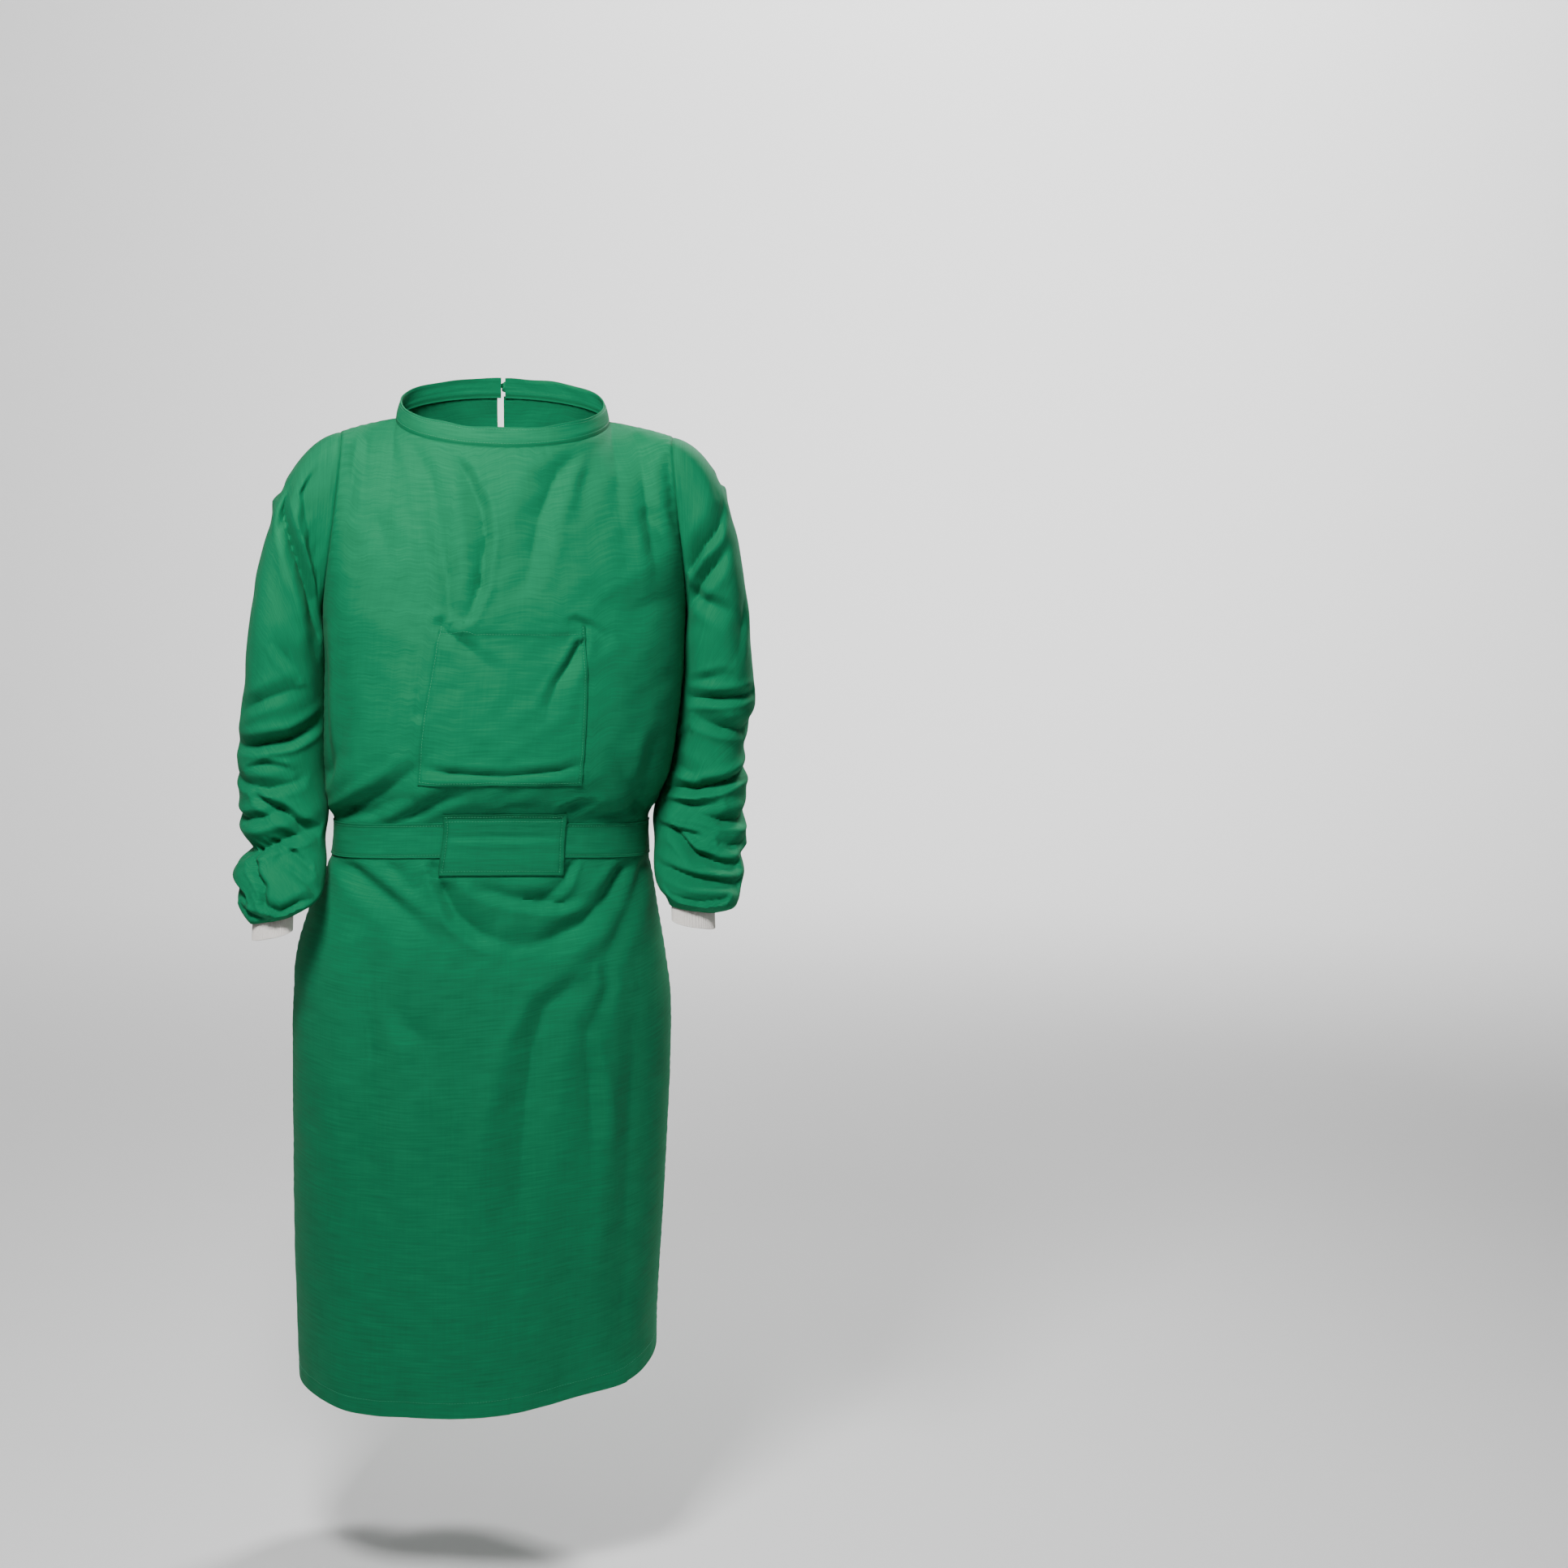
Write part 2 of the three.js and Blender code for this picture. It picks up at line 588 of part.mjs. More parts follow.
// The belt goes round over both side seams, narrows behind and rises to its knot.
const KNOT = { x: -32, z: -529, half: 14, deep: 9, high: 13 };
const BELT_GATHER = 0.6;
const BELT_LIFT = 3;
const [beltLow, beltMiddle, beltHigh] = [BELT_LOW, (BELT_LOW + BELT_HIGH) / 2, BELT_HIGH].map(rowOf);

function beltLine(grid, column) {
  const [i, share] = [Math.floor(column), column % 1];
  const blend = (values) => (share ? values[i].clone().lerp(values[i + 1], share) : values[i].clone());
  const [low, middle, high] = [beltLow, beltMiddle, beltHigh].map((j) => blend(grid.points.map((line) => line[j])));
  const near = middle.y > 0 ? bell(middle.x - KNOT.x, 95) : 0;
  const lift = middle.y > 0 ? BELT_LIFT * bell(middle.x - KNOT.x, 40) : 0;
  const kept = 1 - BELT_GATHER * near;
  return {
    points: [middle.clone().lerp(low, kept), middle.clone(), middle.clone().lerp(high, kept)],
    normals: [beltLow, beltMiddle, beltHigh].map((j) => blend(grid.normals.map((line) => line[j])).normalize()),
    lift,
  };
}

// The place among a back panel's columns that lies at one distance from the middle.
function columnAt(grid, x) {
  const line = grid.points.map((column) => column[beltMiddle].x);
  const i = line.findIndex((value, k) => k > 0 && (value - x) * (line[k - 1] - x) <= 0);
  return i - 1 + (x - line[i - 1]) / (line[i] - line[i - 1]);
}

const rightEnd = columnAt(rightBack, KNOT.x - KNOT.half - 0.8);
const overEdge = columnAt(rightBack, KNOT.x + KNOT.half + 2.5);
const lastBack = backColumns.length - 1;
const beltLines = [
  beltLine(rightBack, rightEnd),
  ...steps(Math.floor(rightEnd), 0, Math.floor(rightEnd)).map((column) => beltLine(rightBack, column)),
  ...steps(1, frontColumns.length - 2, frontColumns.length - 3).map((column) => beltLine(frontGrid, column)),
  ...steps(0, lastBack, lastBack).map((column) => beltLine(leftBack, column)),
  ...steps(lastBack, overEdge, 2).slice(overEdge === lastBack ? 1 : 0).map((column) => beltLine(rightBack, column)),
];
const beltGrid = {
  points: beltLines.map((line) => line.points), normals: beltLines.map((line) => line.normals), sign: 1, closed: false,
};
addPiece('belt', cloth(beltGrid, (i) => LAID_ON + beltLines[i].lift, (i) => BELT_TOP + beltLines[i].lift));

// Neckband, open behind
function bandSurface(degrees, share) {
  const base = neckSeam(degrees);
  const inward = vector(-Math.sin(radians(degrees)), Math.cos(radians(degrees)), 0);
  return base.addScaledVector(inward, BAND_LEAN * share ** 1.2).add(vector(0, 0, 0.7 + BAND_HIGH * share));
}
const BAND_END = 180 - THREE.MathUtils.radToDeg(Math.asin(BAND_GAP / 2 / NECK.half));
const frontTurns = frontColumns.map((c) => (90 * frontAcross(c, SHOULDER)) / NECK_SHARE).filter((d) => Math.abs(d) < 90.01);
const backTurns = steps(90, BAND_END, 6).slice(1);
const bandTurns = [...backTurns.map((d) => -d).reverse(), ...frontTurns, ...backTurns];
addPiece('neckband', cloth(makeGrid(bandSurface, bandTurns, [0, 0.5, 1]), -DOUBLE_CLOTH, 0));

// Sleeves: 0 degrees of turn is the outside of the arm, 90 its front, 180 its inside, 270 its back.
const TURNS = steps(0, 340, 17);
const CAP_START = { under: 14, over: 245, drop: 0.18 };
const CAP_END = { under: 70, over: 300 };
const SLEEVE_OUT = 0.6;

function sleeveRing(rows, side) {
  const [outer, inner, middle, deep, rise] = ['outer', 'inner', 'y', 'deep', 'rise'].map((c) => profile(rows, c));
  return (turn, z, shrink = 0) => {
    const [sine, cosine] = [Math.sin(radians(turn)), Math.cos(radians(turn))];
    const half = (outer(z) - inner(z)) / 2 - shrink;
    return vector(
      side * ((outer(z) + inner(z)) / 2 + half * squared(cosine)),
      middle(z) - (deep(z) - shrink) * squared(sine),
      z + (rise(z) * (1 - cosine)) / 2,
    );
  };
}

function creaseDepth(creases, turn, z) {
  return creases.reduce((sum, crease) => {
    const away = THREE.MathUtils.euclideanModulo(turn - crease.turn + 180, 360) - 180;
    const line = crease.z + (crease.slant * away) / crease.reach;
    return sum + crease.depth * bell(away, crease.reach) * bell(z - line, crease.width);
  }, 0);
}

const capShare = (turn) => (1 + Math.cos(radians(turn))) / 2;

function sleeveSurface(rows, creases, side) {
  const ring = sleeveRing(rows, side);
  const top = rows[0].z;
  const smooth = (turn, row) => {
    if (row < 0) return ring(turn, row);
    const facing = turn <= 180 ? 1 : -1;
    const level = lerp(SHOULDER, UNDERARM, facing > 0 ? turn / 180 : (360 - turn) / 180);
    const start = smoothPanel(side * armholeAcross(level), level, facing).add(vector(side * SLEEVE_OUT, 0, 0));
    const over = capShare(turn);
    const out = lerp(CAP_START.under, CAP_START.over, over);
    const end = ring(turn, top);
    const down = ring(turn, top - 1).sub(end).normalize().multiplyScalar(lerp(CAP_END.under, CAP_END.over, over));
    return hermiteVector(row, start, vector(side * out, 0, -CAP_START.drop * out), end, down);
  };
  return (turn, row) => {
    const point = smooth(turn, row);
    const fade = row < 0 ? 1 : ease(row, 0, 0.35);
    const inside = bell(THREE.MathUtils.euclideanModulo(turn - 180 + 180, 360) - 180, 45);
    const depth = creaseDepth(creases, turn, point.z) * fade * (1 - inside);
    const centre = row < 0 ? ring(0, row).add(ring(180, row)).multiplyScalar(0.5) : ring(0, top).add(ring(180, top)).multiplyScalar(0.5);
    const inward = vector(centre.x - point.x, centre.y - point.y, 0).normalize();
    return point.addScaledVector(inward, depth);
  };
}

const sleeveRows = (rows) => [...steps(0, 1, 7), ...steps(rows[0].z, rows.at(-3).z, 12).slice(1), rows.at(-2).z, rows.at(-1).z];

function addSleeve(name, rows, creases, side) {
  const grid = makeGrid(sleeveSurface(rows, creases, side), TURNS, sleeveRows(rows), { sign: side, closed: true });
  // The first row's inner points keep to their own side of the armhole seam.
  grid.normals.forEach(([first]) => first.setX(side * Math.min(side * first.x, 0)).normalize());
  addPiece(name, cloth(grid, -CLOTH, 0));
}

function addCuff(name, rows, side) {
  const ring = sleeveRing(rows, side);
  const end = rows.at(-1).z;
  const surface = (turn, share) => {
    const point = ring(turn, end, CLOTH + CUFF.clear);
    const along = lerp(CUFF.inside, -CUFF.outside, share);
    return point.add(vector(0, (CUFF.forward * along) / CUFF.outside, along));
  };
  addPiece(name, cloth(makeGrid(surface, TURNS, [0, 0.4, 1], { sign: side, closed: true }), -KNIT, 0), knit);
}

addSleeve('sleeve_right', RIGHT_SLEEVE, RIGHT_CREASES, WEARER_RIGHT);
addSleeve('sleeve_left', LEFT_SLEEVE, LEFT_CREASES, WEARER_LEFT);
addCuff('cuff_right', RIGHT_SLEEVE, WEARER_RIGHT);
addCuff('cuff_left', LEFT_SLEEVE, WEARER_LEFT);

// Knots and tails behind. A place is given as it is seen on the back, with its height above it.
function onBack(x, z, lift) {
  let [across, level] = [acrossAt(x, z), Math.min(z, NECK.z)];
  let point = smoothPanel(across, level, -1);
  for (let i = 0; i < 12; i++) {
    across += (x - point.x) / 260;
    level = Math.min(level + (z - point.z) * 0.7, SHOULDER);
    point = smoothPanel(across, level, -1);
  }
  return vector(x, point.y + lift, z);
}

// A flat strip along a path. It lies flat against the back, or stands out from it on its edge.
function tape(name, places, width, rows, onEdge = false) {
  const curve = new THREE.CatmullRomCurve3(places.map((place) => onBack(...place)), false, 'centripetal');
  const surface = (side, share) => {
    const [point, along] = [curve.getPointAt(share), curve.getTangentAt(share)];
    const lateral = onEdge ? vector(0, 1, 0.15) : vector(0, 1, 0).cross(along);
    return point.addScaledVector(lateral.normalize(), side * width);
  };
  addPiece(name, cloth(makeGrid(surface, [-0.5, 0.5], steps(0, 1, rows)), -TAPE / 2, TAPE / 2));
}

// A knot is a short band pulled tight round the ties, open at both ends.
function knotBand(name, centre, { half, deep, high }, tilt, thickness) {
  const surface = (turn, share) => {
    const waist = 0.72 + 0.28 * Math.sin(Math.PI * share) - 0.1 * bell(share - 0.5, 0.12);
    const point = vector((share * 2 - 1) * half, Math.cos(radians(turn)) * deep * waist, Math.sin(radians(turn)) * high * waist);
    return point.applyAxisAngle(vector(0, 1, 0), radians(tilt)).add(centre);
  };
  addPiece(name, cloth(makeGrid(surface, steps(0, 330, 11), steps(0, 1, 4), { sign: -1, closed: true }), -thickness, 0));
}

knotBand('belt_knot', onBack(KNOT.x, KNOT.z, KNOT.deep + 4.5), KNOT, 8, 3);
tape('belt_tail_wide', [[-33, -511, 18], [-33, -514, 25], [-34, -530, 26.5], [-36, -548, 24], [-40, -585, 11], [-50, -650, 6], [-60, -702, 6]], 41, 16);
tape('belt_tail_behind', [[-38, -546, 6], [-44, -575, 4], [-54, -620, 2.3], [-66, -665, 2.3], [-90, -706, 4], [-115, -748, 5]], 7, 10);
tape('belt_tail_side', [[-48.5, -533, 14], [-78, -557, 13], [-108, -586, 12], [-141, -616, 12]], 14, 6, true);
tape('belt_tail_long', [[-16, -541, 5.5], [-5, -560, 4], [9, -588, 4.5], [15, -620, 5], [14, -665, 6], [8, -720, 7], [4, -783, 8]], 12, 10);
tape('belt_loop', [[-16, -529, 15], [20, -544, 16.5], [44, -555, 16.5], [52, -563, 16.5], [44, -570, 16.5], [10, -557, 16.5], [-16, -538, 15]], 16, 14, true);

const MIDDLE_KNOT = { half: 8, deep: 5, high: 8 };
knotBand('back_tie_knot', onBack(-4, -278, MIDDLE_KNOT.deep + 2), MIDDLE_KNOT, -50, 2);
tape('back_tie_left', [[2.2, -271, 6.5], [18, -259, 4], [48, -266, 3], [75, -277, 3]], 9, 6);
tape('back_tie_short', [[-11, -286, 6], [-20, -307, 4], [-33, -330, 3]], 12, 4);
tape('back_tie_long', [[1, -290, 4], [4, -339, 3.6], [6, -405, 3.6], [15, -471, 4]], 6, 8);

const NECK_KNOT = { half: 8, deep: 6, high: 8 };
knotBand('neck_tie_knot', vector(5, NECK.y + NECK.back + NECK_KNOT.deep - 0.3, NECK.z + NECK.rise + 12), NECK_KNOT, 35, 2.5);
tape('neck_tie_curved', [[14, 38, 7.5], [29, 27, 7.5], [35, 2, 7], [30, -29, 6], [14, -63, 6], [-8, -101, 4], [-20, -114, 3]], 12, 12);
tape('neck_tie_straight', [[8, 32.5, 4], [13, 5, 2.5], [12, -25, 2.5], [11, -63, 2.5], [17, -130, 2.5], [25, -211, 2.5]], 11, 10);

export default gown;
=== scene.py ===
# %% [markdown]
# # A surgical gown, dressed in its cloth
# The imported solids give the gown's true size: thin walls of cloth that hang as if somebody wore them.
# Here every wall gets a finer shell on the same form, with its folds, seams, stitches and weave.

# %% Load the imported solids
import math
import bpy
import numpy as np
from mathutils import Matrix, Vector


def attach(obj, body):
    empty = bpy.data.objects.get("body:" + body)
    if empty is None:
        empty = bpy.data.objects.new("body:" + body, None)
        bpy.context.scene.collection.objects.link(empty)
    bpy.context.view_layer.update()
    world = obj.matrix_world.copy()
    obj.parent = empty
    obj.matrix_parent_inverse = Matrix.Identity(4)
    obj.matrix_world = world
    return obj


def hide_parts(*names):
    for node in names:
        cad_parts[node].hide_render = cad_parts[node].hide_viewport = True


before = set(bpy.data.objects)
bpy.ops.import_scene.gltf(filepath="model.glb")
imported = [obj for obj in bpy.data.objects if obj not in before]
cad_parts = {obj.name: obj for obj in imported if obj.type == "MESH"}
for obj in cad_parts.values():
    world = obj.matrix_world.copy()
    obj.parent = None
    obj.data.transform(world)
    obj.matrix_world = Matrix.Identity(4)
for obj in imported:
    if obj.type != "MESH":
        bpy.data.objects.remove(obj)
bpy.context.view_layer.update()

# %% [markdown]
# ## Camera
# The photograph is taken a little from the left of the gown and slightly from above. A lens of 56 mm at
# three metres gives the same framing, so it comes first and every later step can be looked at.

# %% Camera at the photograph's angle
CAMERA_PLACE = (0.0, -3.0, -0.06)
PHOTO_WIDTH = 1932
FOCAL_PIXELS = 3020
SENSOR = 36.0
YAW = math.radians(6.587)
PITCH = math.radians(7.155)
ROLL = math.radians(0.82)


def camera_axes():
    """Right, up and backward directions of a camera that is turned, tipped and rolled."""
    forward = Vector((math.sin(YAW) * math.cos(PITCH), math.cos(YAW) * math.cos(PITCH), -math.sin(PITCH)))
    level_right = Vector((math.cos(YAW), -math.sin(YAW), 0))
    level_up = level_right.cross(forward)
    right = level_right * math.cos(ROLL) + level_up * math.sin(ROLL)
    up = level_up * math.cos(ROLL) - level_right * math.sin(ROLL)
    return right, up, -forward


bpy.ops.object.select_all(action="DESELECT")
bpy.ops.object.camera_add(location=CAMERA_PLACE)
camera = bpy.context.object
camera.name = "photo_camera"
camera.data.sensor_width = SENSOR
camera.data.lens = FOCAL_PIXELS / PHOTO_WIDTH * SENSOR
turned = Matrix(camera_axes()).transposed().to_4x4()
camera.matrix_world = Matrix.Translation(CAMERA_PLACE) @ turned
bpy.context.scene.camera = camera
print("camera lens", round(camera.data.lens, 2), "mm")

# %% [markdown]
# ## Small tools for shaping
# Cloth follows smooth curves, so a few functions are used all the time: a straight mix, a soft step, a
# bell, and a curve through the rows of a table. The tables hold millimetres, as a pattern cutter
# writes them, and a mesh is turned into metres when it is laid.

# %% Number tools
MM = 0.001


def lerp(start, end, share):
    return start + (end - start) * share


def ease(value, low, high):
    share = np.clip((value - low) / (high - low), 0, 1)
    return share * share * (3 - 2 * share)


def bell(distance, width):
    return np.exp(-((distance / width) ** 2))


def hermite(t, start, start_slope, end, end_slope):
    """A smooth curve between two values that leaves and arrives with the given slopes."""
    square, cube = t * t, t * t * t
    first = (2 * cube - 3 * square + 1) * start + (cube - 2 * square + t) * start_slope
    return first + (3 * square - 2 * cube) * end + (cube - square) * end_slope


def places(x, y, z):
    return np.stack(np.broadcast_arrays(x, y, z), axis=-1).astype(float)


def unit(vectors):
    return vectors / np.maximum(np.linalg.norm(vectors, axis=-1, keepdims=True), 1e-9)


def steps(start, end, count):
    return np.linspace(start, end, count + 1)


def joined(*stretches):
    """Stretches of values in a row, where each one starts at the value that the last one ended on."""
    return np.concatenate([stretches[0], *[stretch[1:] for stretch in stretches[1:]]])


def table(columns, rows):
    """A table with named columns."""
    return dict(zip(columns.split(), np.array(rows, float).T))


def profile(rows, column, key="z"):
    """A smooth curve through one column of a table, read at any value of its key column."""
    order = np.argsort(rows[key])
    at, value = rows[key][order], rows[column][order]
    place = np.arange(len(at))
    before, after = np.maximum(place - 1, 0), np.minimum(place + 1, len(at) - 1)
    slope = (value[after] - value[before]) / (at[after] - at[before])

    def read(where):
        where = np.clip(where, at[0], at[-1])
        i = np.clip(np.searchsorted(at, where) - 1, 0, len(at) - 2)
        span = at[i + 1] - at[i]
        return hermite((where - at[i]) / span, value[i], slope[i] * span, value[i + 1], slope[i + 1] * span)

    return read


print("shaping tools ready")

# %% [markdown]
# ## The form of the gown
# The body is a stack of rounded sections, wide at the chest, drawn in at the belt and wide again below.
# Above the underarm the cloth sweeps up to the neckline in front and behind, and over to the shoulder
# seams. These are the same sections as the solids have, so each shell lies on its solid.

# %% Heights and sections of the body
HEM, HIP = -1187, -640
PATCH_LOW, BELT_LOW, BELT_HIGH, PATCH_HIGH = -541, -521, -480, -468
POCKET_LOW, UNDERARM, SHOULDER = -429, -234, -15
SQUARENESS = 0.87

BODY = table("z right left front back", [
    [-1187, -252, 192, 162, 165],
    [-1070, -255, 195, 158, 160],
    [-975, -257, 200, 155, 156],
    [-880, -257, 204, 152, 152],
    [-790, -257, 207, 149, 149],
    [-700, -255, 207, 145, 145],
    [-640, -250, 199, 141, 138],
    [-575, -230, 188, 135, 121],
    [-525, -208, 179, 127, 104],
    [-500, -204, 177, 125, 101],
    [-478, -204, 178, 127, 102],
    [-452, -212, 190, 140, 114],
    [-420, -217, 203, 148, 122],
    [-370, -217, 212, 148, 121],
    [-300, -216, 219, 144, 119],
    [-234, -216, 222, 140, 117],
])
body_right, body_left = profile(BODY, "right"), profile(BODY, "left")
body_front, body_back = profile(BODY, "front"), profile(BODY, "back")

WAIST, WAIST_REACH, FRONT_RISE, BACK_DROP = -500, 105, 11, 28
WAVE_HIGH, WAVE_COUNT, WAVE_SHIFT = 5.5, 7, 40


def squared(part):
    return np.sign(part) * np.abs(part) ** SQUARENESS


def belt_dip(degrees, level):
    """The belt sits a little higher in front and is dragged down by its knot behind."""
    cosine = np.cos(np.radians(degrees))
    dip = np.where(cosine > 0, FRONT_RISE * cosine**2, -BACK_DROP * np.abs(cosine) ** 1.3)
    return dip * bell(level - WAIST, WAIST_REACH)


def body_ring(degrees, level):
    """A point of the body section at one height: 0 degrees is the front, 90 the wearer's left."""
    sine, cosine = np.sin(np.radians(degrees)), np.cos(np.radians(degrees))
    right, left = body_right(level), body_left(level)
    wave = WAVE_HIGH * ease(-level, 620, 1150) * np.sin(np.radians(WAVE_COUNT * degrees + WAVE_SHIFT))
    deep = np.where(cosine > 0, body_front(level), body_back(level)) + wave * (1 - sine**8)
    across = (left + right) / 2 + (left - right) / 2 * squared(sine)
    return places(across, -deep * squared(cosine), level + belt_dip(degrees, level))


print("body is", body_left(-300) - body_right(-300), "mm wide at the chest")

# %% Neckline, shoulders and armholes
NECK_HALF, NECK_Y, NECK_Z, NECK_FRONT, NECK_BACK, NECK_DIP, NECK_RISE = 128, 6, 3, 104, 66, 33, 30
NECK_SHARE = 0.404
TIP_RIGHT, TIP_LEFT = -194, 206
LEAN_NECK, LEAN_CORNER, LEAN_TIP = 68, 24, 0
SWELL_NECK, SWELL_CORNER, SWELL_TIP = 225, 285, 430
ARMHOLE_CUT = 0.17


def neck_seam(degrees):
    sine, cosine = np.sin(np.radians(degrees)), np.cos(np.radians(degrees))
    deep = np.where(cosine > 0, NECK_FRONT, NECK_BACK)
    drop = np.where(cosine > 0, NECK_DIP, NECK_RISE)
    return places(NECK_HALF * sine, NECK_Y - deep * cosine, NECK_Z - drop * cosine)


def top_edge(across, facing):
    """The top edge of a panel: the neckline in the middle and the shoulder seams outside it."""
    share, side = np.abs(across), np.sign(across)
    degrees = 90 * np.clip(across / NECK_SHARE, -1, 1)
    neckline = neck_seam(degrees if facing > 0 else 180 - degrees)
    out = np.clip((share - NECK_SHARE) / (1 - NECK_SHARE), 0, 1)
    tip = np.where(side > 0, TIP_LEFT, -TIP_RIGHT)
    shoulder = places(side * lerp(NECK_HALF, tip, out**0.95), NECK_Y, lerp(NECK_Z, SHOULDER, out**1.3))
    return np.where((share <= NECK_SHARE)[..., None], neckline, shoulder)


def top_slope(across, facing):
    """How the cloth leans, and how strongly it swells, where it meets the top edge."""
    share = np.abs(across)
    in_neck = np.minimum(share / NECK_SHARE, 1) ** 2
    out = np.maximum((share - NECK_SHARE) / (1 - NECK_SHARE), 0)
    lean = np.radians(lerp(lerp(LEAN_NECK, LEAN_CORNER, in_neck), LEAN_TIP, ease(out, 0, 0.7)))
    swell = lerp(lerp(SWELL_NECK, SWELL_CORNER, in_neck), SWELL_TIP, out**2)
    return places(0, facing * np.cos(lean) * swell, np.sin(lean) * swell)


def smooth_panel(across, level, facing):
    """A panel without folds, for the front (facing 1) or the back (facing -1)."""
    across, level = np.broadcast_arrays(np.asarray(across, float), np.asarray(level, float))
    degrees = 90 * across if facing > 0 else 180 - 90 * across
    low = body_ring(degrees, np.minimum(level, UNDERARM))
    start = body_ring(degrees, UNDERARM)
    top = top_slope(across, facing)
    rise = (start - body_ring(degrees, UNDERARM - 1)) * np.linalg.norm(top, axis=-1, keepdims=True)
    share = ((level - UNDERARM) / (SHOULDER - UNDERARM))[..., None]
    high = hermite(share, start, rise, top_edge(across, facing), top)
    return np.where((level <= UNDERARM)[..., None], low, high)


def armhole_across(level):
    """How far across a panel reaches at one height, with the armhole cut out of its side."""
    share = np.clip((level - UNDERARM) / (SHOULDER - UNDERARM), 0, 1)
    return 1 - ARMHOLE_CUT * np.sin(np.pi * share**0.6)


def across_at(x, level):
    """Where across a panel a place lies that is given by its distance from the middle."""
    z = np.minimum(level, UNDERARM)
    right, left = body_right(z), body_left(z)
    part = np.clip((2 * x - left - right) / (left - right), -1, 1)
    return np.sign(part) * np.arcsin(np.abs(part) ** (1 / SQUARENESS)) * 2 / np.pi


print("shoulder seams end", TIP_LEFT - TIP_RIGHT, "mm apart")

# %% [markdown]
# ## Folds
# Real folds aren't evenly spaced waves. Each one starts where the cloth is held, at the neck seam, the
# pocket's corners, the belt or the underarm, and dies away in the open cloth. So every fold is a row of
# a table: a line of places, each given as its distance from the middle, its height, and the fold's
# depth and width there, all in millimetres.

